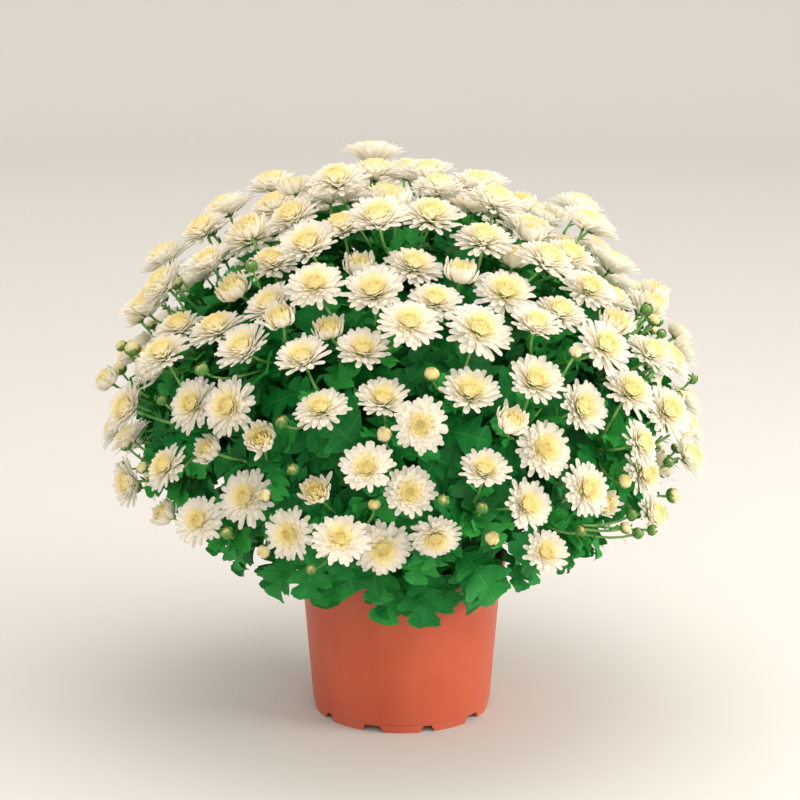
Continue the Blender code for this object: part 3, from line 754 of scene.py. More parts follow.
def marked(tree, label, kind="FLOAT"):
    return add(tree, "GeometryNodeInputNamedAttribute", {0: label}, data_type=kind)


def stems_rule():
    """Round stems along edges, as thick at each point as its thickness says."""
    tree, given = new_rule("Stems", Sides="Int", Finish="Material")
    lines = add(tree, "GeometryNodeMeshToCurve", {0: given["Geometry"]})
    section = add(tree, "GeometryNodeCurvePrimitiveCircle", {0: given["Sides"], "Radius": 1.0})
    tubes = add(tree, "GeometryNodeCurveToMesh",
                {0: lines, 1: section, "Scale": marked(tree, "thickness"), "Fill Caps": True})
    return end_rule(tree, tubes, given["Finish"], smooth=True)


def stem_finish():
    """Living stem: finely ribbed lengthways and downy, fresh green when young, brownish and
    matt where it has turned woody near the soil."""
    made, tree, shader = new_finish("chrysanthemum_stem", Roughness=0.55, Specular_IOR_Level=0.35)
    place = place_of(tree)
    green = ramp(tree, noise(tree, place, 60, 3), [(0.35, STEM_GREEN), (0.68, STEM_PALE)])
    colour = blend(tree, kept_value(tree, "wood"), green, linear(STEM_WOODY))
    ribs = noise(tree, place, 900, 2)
    wire(tree, shader, {"Base Color": colour, "Normal": relief(tree, ribs, 0.35, 0.0004)})
    return made


heads = flower_heads()
heads += flower_buds(heads)
heads += edge_buds(heads)
turn_up(heads)
sprays = sprays_of(heads)
spray_nodes = [f"flower_spray_{k + 1:02d}" for k in range(len(sprays))]
stem_tree, stem_skin = stems_rule(), stem_finish()
main_stems = made_by(stem_tree, "main_stems", {"Sides": STEM_SIDES + 2, "Finish": stem_skin},
                     stem_mesh("main_stem_lines", main_stem_lines(sprays)))
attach(main_stems, "root")
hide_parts("leafy_stems")

stalk_radii = np.linspace(*STALK_RADII, STALK_STEPS + 1)
stalk_radii[-1] *= STALK_NECK
stalk_lines = []
stalk_rng = random.Random(21)
for spray in sprays:
    for head in spray["heads"]:
        head["stalk"] = stalk_line(head, spray["root"], stalk_rng)
        stalk_lines.append((head["stalk"], stalk_radii * (BUD_STALK if head["stage"] == "bud" else 1.0), 0.0))
flower_stalks = made_by(stem_tree, "flower_stalks", {"Sides": STEM_SIDES, "Finish": stem_skin},
                        stem_mesh("flower_stalk_lines", stalk_lines))
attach(flower_stalks, "root")
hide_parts(*spray_nodes)


# The heart of the plant: twigs and old leaves, packed so closely deep inside the dome that next
# to no light gets in. It is shown as one ragged shell behind all the leaves, and its dark green
# is painted shade, the deep shade of that tangle.

CORE_INSET = 0.098
CORE_RELIEF = 0.010
CORE_LOWEST = math.radians(100)
CORE_ROWS = 22
CORE_SIDES = 64
CORE_FOOT = ((0.152, 0.240), (0.126, 0.208), (0.096, 0.180), (0.050, 0.168))
CORE_FOOT_RELIEF = 0.006
# Painted shade: the dark greens that stand in for the deep shade inside the dome
CORE_SHADE_DARK = "#0b3a18"
CORE_SHADE_GREEN = "#17692e"


def round_faces(rows, sides, start=0):
    """The faces between rows of points that all run round the upright axis."""
    faces = []
    for row in range(rows - 1):
        for k in range(sides):
            a, b = start + row * sides + k, start + row * sides + (k + 1) % sides
            faces.append((a, a + sides, b + sides, b))
    return faces


def core_mesh():
    rng = random.Random(5)
    points = []
    for row in range(CORE_ROWS):
        theta = CORE_LOWEST * (row + 0.3) / (CORE_ROWS - 0.7)
        for k in range(CORE_SIDES):
            inset = CORE_INSET + rng.uniform(-CORE_RELIEF, CORE_RELIEF)
            points.append(dome_point(theta, 2 * math.pi * (k + 0.5 * (row % 2)) / CORE_SIDES, inset))
    for row, (radius, height) in enumerate(CORE_FOOT):
        for k in range(CORE_SIDES):
            angle = 2 * math.pi * (k + 0.5 * (row % 2)) / CORE_SIDES
            lift = rng.uniform(-CORE_FOOT_RELIEF, CORE_FOOT_RELIEF)
            points.append((radius * math.cos(angle), radius * math.sin(angle), height + lift))
    faces = round_faces(CORE_ROWS + len(CORE_FOOT), CORE_SIDES)
    faces.append(tuple(range(len(points) - CORE_SIDES, len(points))))
    faces.append(tuple(range(CORE_SIDES - 1, -1, -1)))
    return plain_mesh("leaf_core", points, faces)


def core_shade_finish():
    """Painted shade for the leaves and twigs deep in the dome: matt, blotched dark green and brown."""
    made, tree, shader = new_finish("painted_shade_foliage", Roughness=0.85, Specular_IOR_Level=0.15)
    place = place_of(tree)
    blotch = noise(tree, place, 55, 4)
    wire(tree, shader, {"Base Color": ramp(tree, blotch, [(0.38, CORE_SHADE_DARK), (0.62, CORE_SHADE_GREEN)])})
    return made


# The shell's dark colour is painted shade, not a colour the plant has.
core = bpy.data.objects.new("leaf_core", core_mesh())
core.data.materials.append(core_shade_finish())
bpy.context.scene.collection.objects.link(core)
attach(core, "root")
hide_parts("leafy_stems")


# The leaves: lobed and bluntly toothed, soft and a little glossy, dark green with a pale
# midrib and pale side veins. Large ones crowd inside the dome and hang over the pot's rim,
# and smaller ones stand singly up the flower stalks.

# Half of a leaf before its lobes are swept forward: along its midrib, half its width
SKIRT_OUTLINE = (
    (0.00, 0.012), (0.10, 0.016), (0.16, 0.03), (0.18, 0.15), (0.205, 0.235), (0.24, 0.262), (0.262, 0.245),
    (0.29, 0.305), (0.325, 0.325), (0.358, 0.29), (0.385, 0.18), (0.408, 0.10), (0.432, 0.11), (0.452, 0.22),
    (0.485, 0.31), (0.515, 0.30), (0.55, 0.365), (0.595, 0.385), (0.625, 0.34), (0.66, 0.32), (0.688, 0.20),
    (0.708, 0.13), (0.735, 0.16), (0.765, 0.235), (0.80, 0.225), (0.84, 0.245), (0.875, 0.20), (0.91, 0.185),
    (0.945, 0.12), (0.975, 0.09), (1.00, 0.012),
)
INNER_OUTLINE = (
    (0.00, 0.012), (0.14, 0.03), (0.19, 0.22), (0.24, 0.26), (0.32, 0.31), (0.37, 0.25), (0.42, 0.11),
    (0.46, 0.22), (0.52, 0.31), (0.60, 0.37), (0.66, 0.30), (0.71, 0.14), (0.77, 0.235), (0.84, 0.235),
    (0.92, 0.17), (1.00, 0.012),
)
SMALL_OUTLINE = (
    (0.0, 0.02), (0.12, 0.03), (0.28, 0.14), (0.42, 0.21), (0.50, 0.17), (0.62, 0.24), (0.72, 0.17),
    (0.86, 0.14), (1.0, 0.012),
)
BRACT_OUTLINE = ((0.0, 0.03), (0.2, 0.08), (0.5, 0.12), (0.8, 0.08), (1.0, 0.01))
# Each leaf shape: its droop, its fold and its wave, its seed, its outline and its columns of faces
LEAF_SHAPES = (
    (0.5, 0.25, 0.05, 0, INNER_OUTLINE, 2),
    (0.8, 0.45, 0.04, 1, INNER_OUTLINE, 2),
    (0.35, 0.35, 0.07, 2, INNER_OUTLINE, 2),
    (0.65, 0.15, 0.06, 3, INNER_OUTLINE, 2),
    (1.0, 0.3, 0.05, 4, INNER_OUTLINE, 2),
    (1.3, 0.3, 0.06, 0, SKIRT_OUTLINE, 4),
    (1.6, 0.4, 0.05, 1, SKIRT_OUTLINE, 4),
    (1.1, 0.2, 0.07, 2, SKIRT_OUTLINE, 4),
    (0.5, 0.3, 0.05, 8, SMALL_OUTLINE, 2),
    (0.4, 0.3, 0.03, 9, BRACT_OUTLINE, 2),
)
LOBE_SWEEP = 0.34
LEAF_RISE = 0.18
LEAF_VEINS = (0.30, 0.575, 0.80)
INNER_LEAVES = 520
INNER_SHAPES = range(0, 5)
INNER_LEAF_LENGTHS = (0.042, 0.062)
INNER_LEAF_INSETS = (0.056, 0.096)
INNER_LEAF_LOWEST = math.radians(112)
INNER_LEAF_LEANS = (0.9, 1.45)
SKIRT_SHAPES = range(5, 8)
# Each row of hanging leaves: how many, how far out and how high they spring, how long they are
# and how many degrees they fall
SKIRT_ROWS = (
    (26, 0.088, 0.160, (0.048, 0.072), 8),
    (28, 0.122, 0.176, (0.046, 0.066), 26),
    (32, 0.160, 0.200, (0.042, 0.064), 42),
    (36, 0.190, 0.232, (0.038, 0.056), 52),
)
# The leaves up each stalk: how far up, how long, and which shapes they may have
STALK_LEAVES = (
    (0.12, (0.036, 0.050), (0, 1, 2, 3, 4)),
    (0.28, (0.028, 0.042), (0, 1, 2, 3, 4)),
    (0.44, (0.018, 0.030), (0, 1, 2, 8)),
    (0.64, (0.010, 0.018), (8, 9)),
    (0.82, (0.007, 0.012), (9,)),
)
STALK_LEAF_LEANS = (0.6, 1.15)
LEAF_TRIES = 7
LEAF_OVER_RIM = 0.001
LEAF_OFF_RIM = 0.004
FACE_CLEARANCE = 0.045
FACE_HEIGHT = 0.013
FACE_SHARE = 0.85
HEAD_SHARE = 0.98
HEAD_DEPTHS = {"open": 0.004, "half_open": 0.009, "bud": 0.009}
LEAF_DARK = "#02461c"
LEAF_GREEN = "#067a32"
LEAF_FRESH = "#38ad48"
LEAF_VEIN = "#5aa55c"
LEAF_GLOW = "#3aa030"


def bent_line(first, last, steps):
    """A line of unit length whose slope runs from first to last. The answer gives, for a share of
    its length, the place along and up, and the slope there."""
    slopes = np.linspace(first, last, steps)
    line_x = np.concatenate(([0], np.cumsum(np.cos(slopes)))) / steps
    line_z = np.concatenate(([0], np.cumsum(np.sin(slopes)))) / steps

    def at(share):
        ends = np.linspace(0, 1, steps + 1)
        slope = np.interp(share, np.linspace(0, 1, steps), slopes)
        return np.interp(share, ends, line_x), np.interp(share, ends, line_z), slope

    return at


def blade(name, points, columns, spots):
    """A leaf or a petal from its rows of points, with the place of each across and along it."""
    faces = []
    for row in range(len(points) // (columns + 1) - 1):
        for k in range(columns):
            a = row * (columns + 1) + k
            faces.append((a, a + columns + 1, a + columns + 2, a + 1))
    mesh = plain_mesh(name, points, faces)
    layer = mesh.uv_layers.new(name="blade")
    for loop in mesh.loops:
        layer.data[loop.index].uv = spots[loop.vertex_index]
    return bpy.data.objects.new(name, mesh)


def leaf_shape(name, droop, fold, wave, seed, outline, columns):
    """A leaf of unit length along X, its upper side up. It droops towards its tip, is folded up
    along its midrib and waves along its edge."""
    rng = random.Random(seed)
    phase = rng.uniform(0, 6.3)
    at = bent_line(LEAF_RISE, LEAF_RISE - droop, 96)
    points, spots = [], []
    for along, half in outline:
        half *= rng.uniform(0.93, 1.07)
        for share in np.linspace(-1, 1, columns + 1):
            y = half * share
            x, z, slope = at(min(along + LOBE_SWEEP * abs(y) * (1 - along**5), 1))
            lift = fold * abs(y) + wave * abs(share) * math.sin(phase + along * 17 + share) * 0.5
            points.append((x - lift * math.sin(slope), y, z + lift * math.cos(slope)))
            spots.append(((share + 1) / 2, along))
    return blade(name, points, columns, spots)


def turn_to(way, face):
    """The turn that takes X to way and Z as near as it can be to face."""
    x = way.normalized()
    y = face.cross(x)
    if y.length < 1e-4:
        y = Vector((1, 0, 0)).cross(x)
    y.normalize()
    return Matrix((x, y, x.cross(y))).transposed()


def leaning(way, side, spin, lean):
    """The way that leans off another by an angle, spun round it from the side."""
    sideways = side * math.cos(spin) + side.cross(way) * math.sin(spin)
    return way * math.cos(lean) + sideways * math.sin(lean), sideways


def spots_mesh(name, spots):
    """Points for the set-out rule. Each spot is a place, a turn, a size, a shape number and a tone."""
    places, turns, sizes, shapes, tones = zip(*spots)
    mesh = plain_mesh(name, [tuple(place) for place in places], [])
    angles = np.array([tuple(turn.to_euler()) for turn in turns], np.float32)
    mark_points(mesh, "turn", angles.ravel(), "FLOAT_VECTOR")
    mark_points(mesh, "size", sizes)
    mark_points(mesh, "shape", shapes, "INT")
    mark_points(mesh, "tone", tones)
    return mesh


def set_out_rule():
    """Sets the chosen shape at each point, turned and sized as the point says."""
    tree, given = new_rule("Set out", Shapes="Collection", Overall_Size="Float", Finish="Material")
    points = add(tree, "GeometryNodeMeshToPoints", {0: given["Geometry"]})
    size = calc(tree, "MULTIPLY", marked(tree, "size"), given["Overall Size"])
    placed = set_on(tree, points, given["Shapes"], marked(tree, "shape", "INT"),
                    marked(tree, "turn", "FLOAT_VECTOR"), size)
    return end_rule(tree, placed, given["Finish"], smooth=True)


def set_out_at(name, spots, shapes, finish):
    """A piece with one of the shapes at each spot."""
    return made_by(set_out, name, {"Shapes": shapes, "Overall Size": 1.0, "Finish": finish},
                   spots_mesh(name + "_spots", spots))


def hits_a_head(points, head_places):
    """Whether any of a leaf's points lies in a flower head, or close in front of its face."""
    middles, axes, radii, depths = head_places
    off = points[:, None] - middles[None]
    height = (off * axes).sum(2)
    out = np.sqrt(np.maximum((off * off).sum(2) - height**2, 0))
    through = (height > -depths) & (height < FACE_HEIGHT) & (out < radii)
    before = (height >= FACE_HEIGHT) & (height < FACE_CLEARANCE) & (out < radii * FACE_SHARE)
    return bool((through | before).any())


def keeps_clear(spot, shapes, head_places):
    """Whether a leaf there crosses no flower head and no part of the pot."""
    place, turn, size, shape, _ = spot
    points = shapes[shape] * size @ np.array(turn).T + np.array(place)
    flat = np.hypot(points[:, 0], points[:, 1])
    in_pot = (points[:, 2] < POT_HEIGHT + LEAF_OVER_RIM) & (flat < RIM_RADIUS + LEAF_OFF_RIM)
    return not in_pot.any() and not hits_a_head(points, head_places)


def inner_leaf(rng, index):
    theta, phi = lattice_angles(INNER_LEAVES, index)
    theta = min(theta + rng.uniform(-0.07, 0.07), INNER_LEAF_LOWEST)
    phi += rng.uniform(-0.1, 0.1) / max(math.sin(theta), 0.25)
    base = dome_point(abs(theta), phi, rng.uniform(*INNER_LEAF_INSETS))
    normal = dome_normal(base)
    side = normal.cross(Vector((0, 0, 1)))
    side = side.normalized() if side.length > 0.01 else Vector((1, 0, 0))
    way, sideways = leaning(normal, side, rng.uniform(0, 2 * math.pi), rng.uniform(*INNER_LEAF_LEANS))
    turn = turn_to(way, normal + Vector((0, 0, 0.5)) - sideways * 0.3)
    # A leaf's tone varies at random, and its low range here, for leaves deep in the dome, is painted shade.
    return (base, turn, rng.uniform(*INNER_LEAF_LENGTHS), rng.choice(INNER_SHAPES), rng.uniform(0.0, 0.55))


def skirt_leaf(rng, row, index):
    count, radius, height, lengths, fall = row
    phi = 2 * math.pi * (index + rng.uniform(-0.3, 0.3)) / count + radius * 9
    out = Vector((math.cos(phi), math.sin(phi), 0))
    base = out * radius + Vector((0, 0, height + rng.uniform(0.0, 0.014)))
    slope = math.radians(fall) + rng.uniform(-0.25, 0.35)
    way = Matrix.Rotation(rng.uniform(-0.8, 0.8), 3, "Z") @ (out * math.cos(slope))
    way.z = -math.sin(slope)
    face = Vector((rng.uniform(-0.5, 0.5), rng.uniform(-0.5, 0.5), 1)) + out * 0.3
    # A leaf's tone varies at random, and its middle range here, for leaves round the skirt, is partly painted
    # shade.
    return (base, turn_to(way, face), rng.uniform(*lengths), rng.choice(SKIRT_SHAPES), rng.uniform(0.2, 0.8))


def stalk_leaf(rng, stalk, share, length, shapes):
    """A leaf that grows from a flower stalk, at its share of the way up."""
    spot = share * (len(stalk) - 1)
    low = min(int(spot), len(stalk) - 2)
    base = stalk[low].lerp(stalk[low + 1], spot - low)
    up = (stalk[low + 1] - stalk[low]).normalized()
    side = up.orthogonal().normalized()
    spin = rng.uniform(0, 2 * math.pi)
    way, _ = leaning(up, side, -spin, rng.uniform(*STALK_LEAF_LEANS))
    # A leaf's tone varies at random, and its high range here, for leaves out on the stalks, is painted light.
    return (base, turn_to(way, up + Vector((0, 0, 0.5))), length, rng.choice(shapes), rng.uniform(0.25, 1.0))


def leaf_spots(leaf_points, head_places):
    """Spots for the leaves inside the dome, round its skirt and up the stalks, none of them
    through a flower head or the pot."""
    rng = random.Random(8)
    inner, skirt, stalk = [], [], []

    def keep(kept, draw, *place):
        for _ in range(LEAF_TRIES):
            spot = draw(rng, *place)
            if keeps_clear(spot, leaf_points, head_places):
                kept.append(spot)
                return

    for index in range(INNER_LEAVES):
        keep(inner, inner_leaf, index)
    for row in SKIRT_ROWS:
        for index in range(row[0]):
            keep(skirt, skirt_leaf, row, index)
    for head in heads:
        for share, lengths, shapes in STALK_LEAVES:
            share += rng.uniform(-0.05, 0.05)
            keep(stalk, stalk_leaf, head["stalk"], share, rng.uniform(*lengths), shapes)
    return inner, skirt, stalk


def blade_places(tree):
    """How far across and how far along its blade each point lies."""
    split = add(tree, "ShaderNodeSeparateXYZ", {0: add(tree, "ShaderNodeUVMap", uv_map="blade")})
    return split.outputs[0], split.outputs[1]


def distance_from(tree, value, middle):
    return calc(tree, "ABSOLUTE", calc(tree, "SUBTRACT", value, middle))


def show_through(tree, shader, colour, share):
    """Lets a share of the light through the surface, tinted by what it passes."""
    glow = add(tree, "ShaderNodeBsdfTranslucent", {0: linear(colour)})
    both = add(tree, "ShaderNodeMixShader", {0: share, 1: shader, 2: glow})
    wire(tree, tree.nodes["Material Output"], {"Surface": both})


def leaf_finish():
    """Chrysanthemum leaf: soft, faintly downy and a little glossy, quilted between its veins.
    Light shows through it yellow-green."""
    made, tree, shader = new_finish("chrysanthemum_leaf", Roughness=0.52, Specular_IOR_Level=0.22)
    place = place_of(tree)
    across, along = blade_places(tree)
    off_rib = distance_from(tree, across, 0.5)
    gaps = [distance_from(tree, along, vein) for vein in LEAF_VEINS]
    nearest = gaps[0]
    for gap in gaps[1:]:
        nearest = calc(tree, "MINIMUM", nearest, gap)
    rib = mapped(tree, off_rib, 0.012, 0.040, 1.0, 0.0)
    veins = calc(tree, "MAXIMUM", rib, mapped(tree, nearest, 0.003, 0.014, 0.8, 0.0))
    # The tone lightens the green. It is partly random and partly painted shade, since leaves deep in the dome
    # get lower tones.
    light = calc(tree, "MULTIPLY", kept_value(tree, "tone"), 0.62)
    share = calc(tree, "MULTIPLY_ADD", noise(tree, place, 75, 4), 0.5, light)
    green = ramp(tree, share, [(0.12, LEAF_DARK), (0.50, LEAF_GREEN), (0.92, LEAF_FRESH)])
    veined = blend(tree, calc(tree, "MULTIPLY", veins, 0.26), green, linear(LEAF_VEIN))
    edge = mapped(tree, off_rib, 0.470, 0.5, 0.0, 0.28)
    quilt = add(tree, "ShaderNodeTexVoronoi", {"Vector": place, "Scale": 420}, feature="SMOOTH_F1")
    height = calc(tree, "MULTIPLY_ADD", veins, -1.2, quilt)
    wire(tree, shader, {"Base Color": blend(tree, edge, veined, linear(LEAF_VEIN)),
                        "Normal": relief(tree, height, 0.45, 0.0012)})
    show_through(tree, shader, LEAF_GLOW, 0.12)
    return made


leaves = [leaf_shape(f"leaf_{k}", *form) for k, form in enumerate(LEAF_SHAPES)]
leaf_points = [np.array([v.co for v in leaf.data.vertices])[::2] for leaf in leaves]
head_places = (np.array([h["middle"] for h in heads]), np.array([h["axis"] for h in heads]),
               np.array([h["radius"] * HEAD_SHARE for h in heads]),
               np.array([HEAD_DEPTHS[h["stage"]] for h in heads]))
inner_spots, skirt_spots, stalk_leaf_spots = leaf_spots(leaf_points, head_places)
leaf_set = shape_set("leaves", leaves)
set_out, leaf_skin = set_out_rule(), leaf_finish()
for name, spots, nodes in (("inner_leaves", inner_spots, ["leafy_stems"]),
                           ("skirt_leaves", skirt_spots, ["leafy_stems"]),
                           ("stalk_leaves", stalk_leaf_spots, spray_nodes)):
    leafage = set_out_at(name, spots, leaf_set, leaf_skin)
    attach(leafage, "root")
    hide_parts(*nodes)
discard(leaf_set)


# The open blooms: double flower heads, 41 to 63 mm across, each of about 170 ray florets in a
# spiral. The outer ones are long, flat, white straps with blunt tips. The inner ones are
# shorter, cupped and yellower, and close over a button of unopened florets.

BLOOM_RADIUS = 0.0235
BLOOM_KINDS = 8
CUPPED_KINDS = 3
BLOOM_PIECES = 4
TOP_FULLNESS = 0.12
# Each floret shape: half its width at shares of its length, then the bend at its foot and at
# its tip, and how far it is cupped
STRAP_FLORET = (((0, 0.15), (0.25, 0.36), (0.55, 0.48), (0.82, 0.49), (0.95, 0.36), (1, 0.12)),
                (0.30, -0.12), 0.20)
SPOON_FLORET = (((0, 0.20), (0.30, 0.42), (0.65, 0.50), (0.90, 0.42), (1, 0.14)), (0.0, 0.28), 0.32)
SHORT_FLORET = (((0, 0.24), (0.40, 0.46), (0.80, 0.48), (1, 0.20)), (0.0, 0.40), 0.32)
QUILL_FLORET = (((0, 0.26), (0.50, 0.48), (0.85, 0.46), (1, 0.22)), (0.0, 0.50), 0.50)
BUTTON_PROFILE = ((0.0, 0.0071), (0.0013, 0.0077), (0.0027, 0.0073), (0.0040, 0.0067), (0.0053, 0.0058),
                  (0.0068, 0.0040))
BUTTON_SIDES = 12
BUTTON_RELIEF = 0.0009
BUTTON_AGE = 0.60
PETAL_WHITE = "#fffaf5"
PETAL_CREAM = "#fff7dd"
PETAL_YELLOW = "#fff4b6"
PETAL_GOLD = "#ffef9c"
PETAL_GREEN = "#ffee94"
PETAL_GLOW = "#fffdf2"


def floret(name, outline, bend, cup):
    """A ray floret of unit length along X, its upper side up, bent along and cupped across."""
    at = bent_line(*bend, 60)
    points, spots = [], []
    for along, half in outline:
        x, z, slope = at(along)
        for side in (-1, 0, 1):
            lift = cup * half * 0.3 * abs(side)
            points.append((x - lift * math.sin(slope), half * side, z + lift * math.cos(slope)))
            spots.append(((side + 1) / 2, along))
    return blade(name, points, 2, spots)


def floret_shapes(*shapes):
    return shape_set("florets", [floret(f"floret_{k + 1}", *shape) for k, shape in enumerate(shapes)])


def spiral_rule():
    """Florets in a spiral from the rim of a small dome to its top. From the outermost to the
    innermost they rise from the outer to the inner pitch and shorten and narrow."""
    tree, given = new_rule("Floret spiral", Floret_Shapes="Collection", Shape_Count="Float", Florets="Int",
                           Outer_Length="Float", Inner_Length="Float", Outer_Width="Float",
                           Inner_Width="Float", Outer_Pitch="Float", Inner_Pitch="Float",
                           Pitch_Curve="Float", Length_Curve="Float", Foot_Radius="Float",
                           Foot_Height="Float", Top_Height="Float", Disorder="Float", Seed="Int")
    index = add(tree, "GeometryNodeInputIndex")
    age = calc(tree, "DIVIDE", index, calc(tree, "SUBTRACT", given["Florets"], 1.0))
    less = calc(tree, "MULTIPLY", given["Disorder"], -1.0)

    def draw(number):
        """A random number from minus to plus the disorder, its own for each floret."""
        seed = calc(tree, "MULTIPLY_ADD", given["Seed"], 10.0, float(number))
        return random_value(tree, "FLOAT", less, given["Disorder"], seed)

    def between(share, first, last):
        """The measure at a share of the way from one named input to another."""
        return mapped(tree, share, 0.0, 1.0, given[first], given[last])

    angle = calc(tree, "MULTIPLY_ADD", index, GOLDEN_ANGLE, draw(1))
    inward = calc(tree, "SUBTRACT", 1.0, age)
    radius = calc(tree, "MULTIPLY", calc(tree, "POWER", inward, 0.6), given["Foot Radius"])
    x = calc(tree, "MULTIPLY", calc(tree, "COSINE", angle), radius)
    y = calc(tree, "MULTIPLY", calc(tree, "SINE", angle), radius)
    z = between(age, "Foot Height", "Top Height")
    foot = add(tree, "ShaderNodeCombineXYZ", {0: x, 1: y, 2: z})
    points = add(tree, "GeometryNodePoints", {"Count": given["Florets"], "Position": foot})
    rise = calc(tree, "POWER", age, given["Pitch Curve"])
    pitch = calc(tree, "ADD", between(rise, "Outer Pitch", "Inner Pitch"), draw(2))
    twist = calc(tree, "MULTIPLY", draw(3), 1.6)
    turn = add(tree, "ShaderNodeCombineXYZ", {0: twist, 1: calc(tree, "MULTIPLY", pitch, -1.0), 2: angle})
    left = calc(tree, "POWER", inward, given["Length Curve"])
    vary = calc(tree, "MULTIPLY_ADD", draw(4), 0.7, 1.0)
    length = calc(tree, "MULTIPLY", between(left, "Inner Length", "Outer Length"), vary)
    width = between(age, "Outer Width", "Inner Width")
    size = add(tree, "ShaderNodeCombineXYZ", {0: length, 1: width, 2: length})
    pick = calc(tree, "SUBTRACT", calc(tree, "MULTIPLY", age, given["Shape Count"]), 0.02)
    placed = set_on(tree, keep_value(tree, points, "age", age), given["Floret Shapes"],
                    calc(tree, "FLOOR", pick), turn, size)
    add(tree, "NodeGroupOutput", {0: add(tree, "GeometryNodeRealizeInstances", {0: placed})})
    return tree


def button():
    """The tight button of unopened florets under the innermost ones, low, domed and bumpy."""
    points = [(0.0, 0.0, BUTTON_PROFILE[0][1])]
    for row, (radius, height) in enumerate(BUTTON_PROFILE[1:]):
        for k in range(BUTTON_SIDES):
            angle = 2 * math.pi * (k + 0.5 * (row % 2)) / BUTTON_SIDES
            bump = BUTTON_RELIEF * (1 if (k + row) % 2 else -1)
            points.append((radius * math.cos(angle), radius * math.sin(angle), height + bump))
    faces = [(0, 1 + k, 1 + (k + 1) % BUTTON_SIDES) for k in range(BUTTON_SIDES)]
    mesh = plain_mesh("button", points, faces + round_faces(len(BUTTON_PROFILE) - 1, BUTTON_SIDES, 1))
    mark_points(mesh, "age", [BUTTON_AGE] * len(points))
    layer = mesh.uv_layers.new(name="blade")
    layer.data.foreach_set("uv", [0.5, 0.9] * len(mesh.loops))
    return bpy.data.objects.new("button", mesh)


def petal_finish(name, seen_through):
    """Living petal: matt and velvety, faintly ribbed along its length, white at the rim of the
    head, cream further in and yellow at the middle. A share of the light is seen through it."""
    made, tree, shader = new_finish(name, Roughness=0.66, Specular_IOR_Level=0.22)
    place = place_of(tree)
    across, along = blade_places(tree)
    older = calc(tree, "ADD", kept_value(tree, "age"), kept_value(tree, "tone"))
    warm = calc(tree, "ADD", older, mapped(tree, along, 0.0, 0.75, 0.20, 0.0))
    cloud = calc(tree, "SUBTRACT", noise(tree, place, 120, 2), 0.5)
    share = calc(tree, "MULTIPLY_ADD", cloud, 0.14, warm)
    colour = ramp(tree, share, [(0.40, PETAL_WHITE), (0.52, PETAL_CREAM), (0.64, PETAL_YELLOW),
                                (0.88, PETAL_GOLD), (1.0, PETAL_GREEN)])
    ribs = calc(tree, "SINE", calc(tree, "MULTIPLY", across, 44.0))
    wire(tree, shader, {"Base Color": colour, "Normal": relief(tree, ribs, 0.22, 0.0003)})
    show_through(tree, shader, PETAL_GLOW, seen_through)
    return made


def head_spots(chosen, full_radius, kinds, seed, tones=(0.0, 0.08)):
    """Spots for the chosen heads, each spun about its own axis by a seeded draw. The heads at the
    top are the fullest. The higher its tone, the yellower a head is."""
    rng = random.Random(seed)
    spots = []
    for head in chosen:
        spin = Matrix.Rotation(rng.uniform(0, 2 * math.pi), 3, "Z")
        turn = head["axis"].to_track_quat("Z", "Y").to_matrix() @ spin
        height = max(head["middle"].z - DOME_WAIST_Z, 0) / DOME_RISE
        size = head["radius"] / full_radius * (1 + TOP_FULLNESS * height)
        spots.append((head["middle"], turn, size, rng.randrange(kinds), rng.uniform(*tones)))
    return spots


spiral, petal_skin = spiral_rule(), petal_finish("chrysanthemum_petal", 0.46)
floret_set = floret_shapes(STRAP_FLORET, SPOON_FLORET, SHORT_FLORET, QUILL_FLORET)
blooms = []
for kind in range(BLOOM_KINDS):
    rng = random.Random(40 + kind)
    cupped = kind >= BLOOM_KINDS - CUPPED_KINDS
    blooms.append(made_by(spiral, f"bloom_{kind}", {
        "Floret Shapes": floret_set, "Shape Count": 4.0, "Florets": rng.randint(162, 180),
        "Outer Length": BLOOM_RADIUS - 0.0033, "Inner Length": 0.0042,
        "Outer Width": 0.0050, "Inner Width": 0.0027,
        "Outer Pitch": rng.uniform(0.34, 0.48) if cupped else rng.uniform(0.04, 0.20), "Inner Pitch": 1.22,
        "Pitch Curve": rng.uniform(1.0, 1.25), "Length Curve": 1.2,
        "Foot Radius": 0.0066, "Foot Height": -0.0062, "Top Height": 0.0050 if cupped else 0.0062,
        "Disorder": 0.10, "Seed": kind + 1}))
bloom_set = shape_set("blooms", blooms)
middle_spots = []
for piece in range(BLOOM_PIECES):
    own = [k for k in range(len(sprays)) if k * BLOOM_PIECES // len(sprays) == piece]
    chosen = [head for k in own for head in sprays[k]["heads"] if head["stage"] == "open"]
    spots = head_spots(chosen, BLOOM_RADIUS, BLOOM_KINDS, piece)
    middle_spots += [(*spot[:3], 0, spot[4]) for spot in spots]
    bloom = set_out_at(f"open_blooms_{piece + 1}", spots, bloom_set, petal_skin)
    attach(bloom, "root")
    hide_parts(*[spray_nodes[k] for k in own])
button_set = shape_set("buttons", [button()])
middle_skin = petal_finish("chrysanthemum_middle", 0.08)
bloom_middles = set_out_at("bloom_middles", middle_spots, button_set, middle_skin)
discard(bloom_set, floret_set, button_set)
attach(bloom_middles, "root")
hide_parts(*spray_nodes)


# The half-open blooms: cups of cream florets, 24 to 38 mm across, the outer ones standing up
# and out with blunt tips, the inner ones still closed over the yellow middle.

CUP_RADIUS = 0.0148
CUP_KINDS = 5
CUP_TONES = (0.14, 0.32)
CUP_FLORET = (((0, 0.22), (0.30, 0.46), (0.60, 0.50), (0.88, 0.42), (1, 0.13)), (-0.10, 1.75), 0.40)
TUCKED_FLORET = (((0, 0.24), (0.45, 0.48), (0.80, 0.44), (1, 0.16)), (-0.10, 1.45), 0.50)
INMOST_FLORET = (((0, 0.26), (0.50, 0.50), (0.82, 0.44), (1, 0.20)), (0.0, 0.90), 0.50)

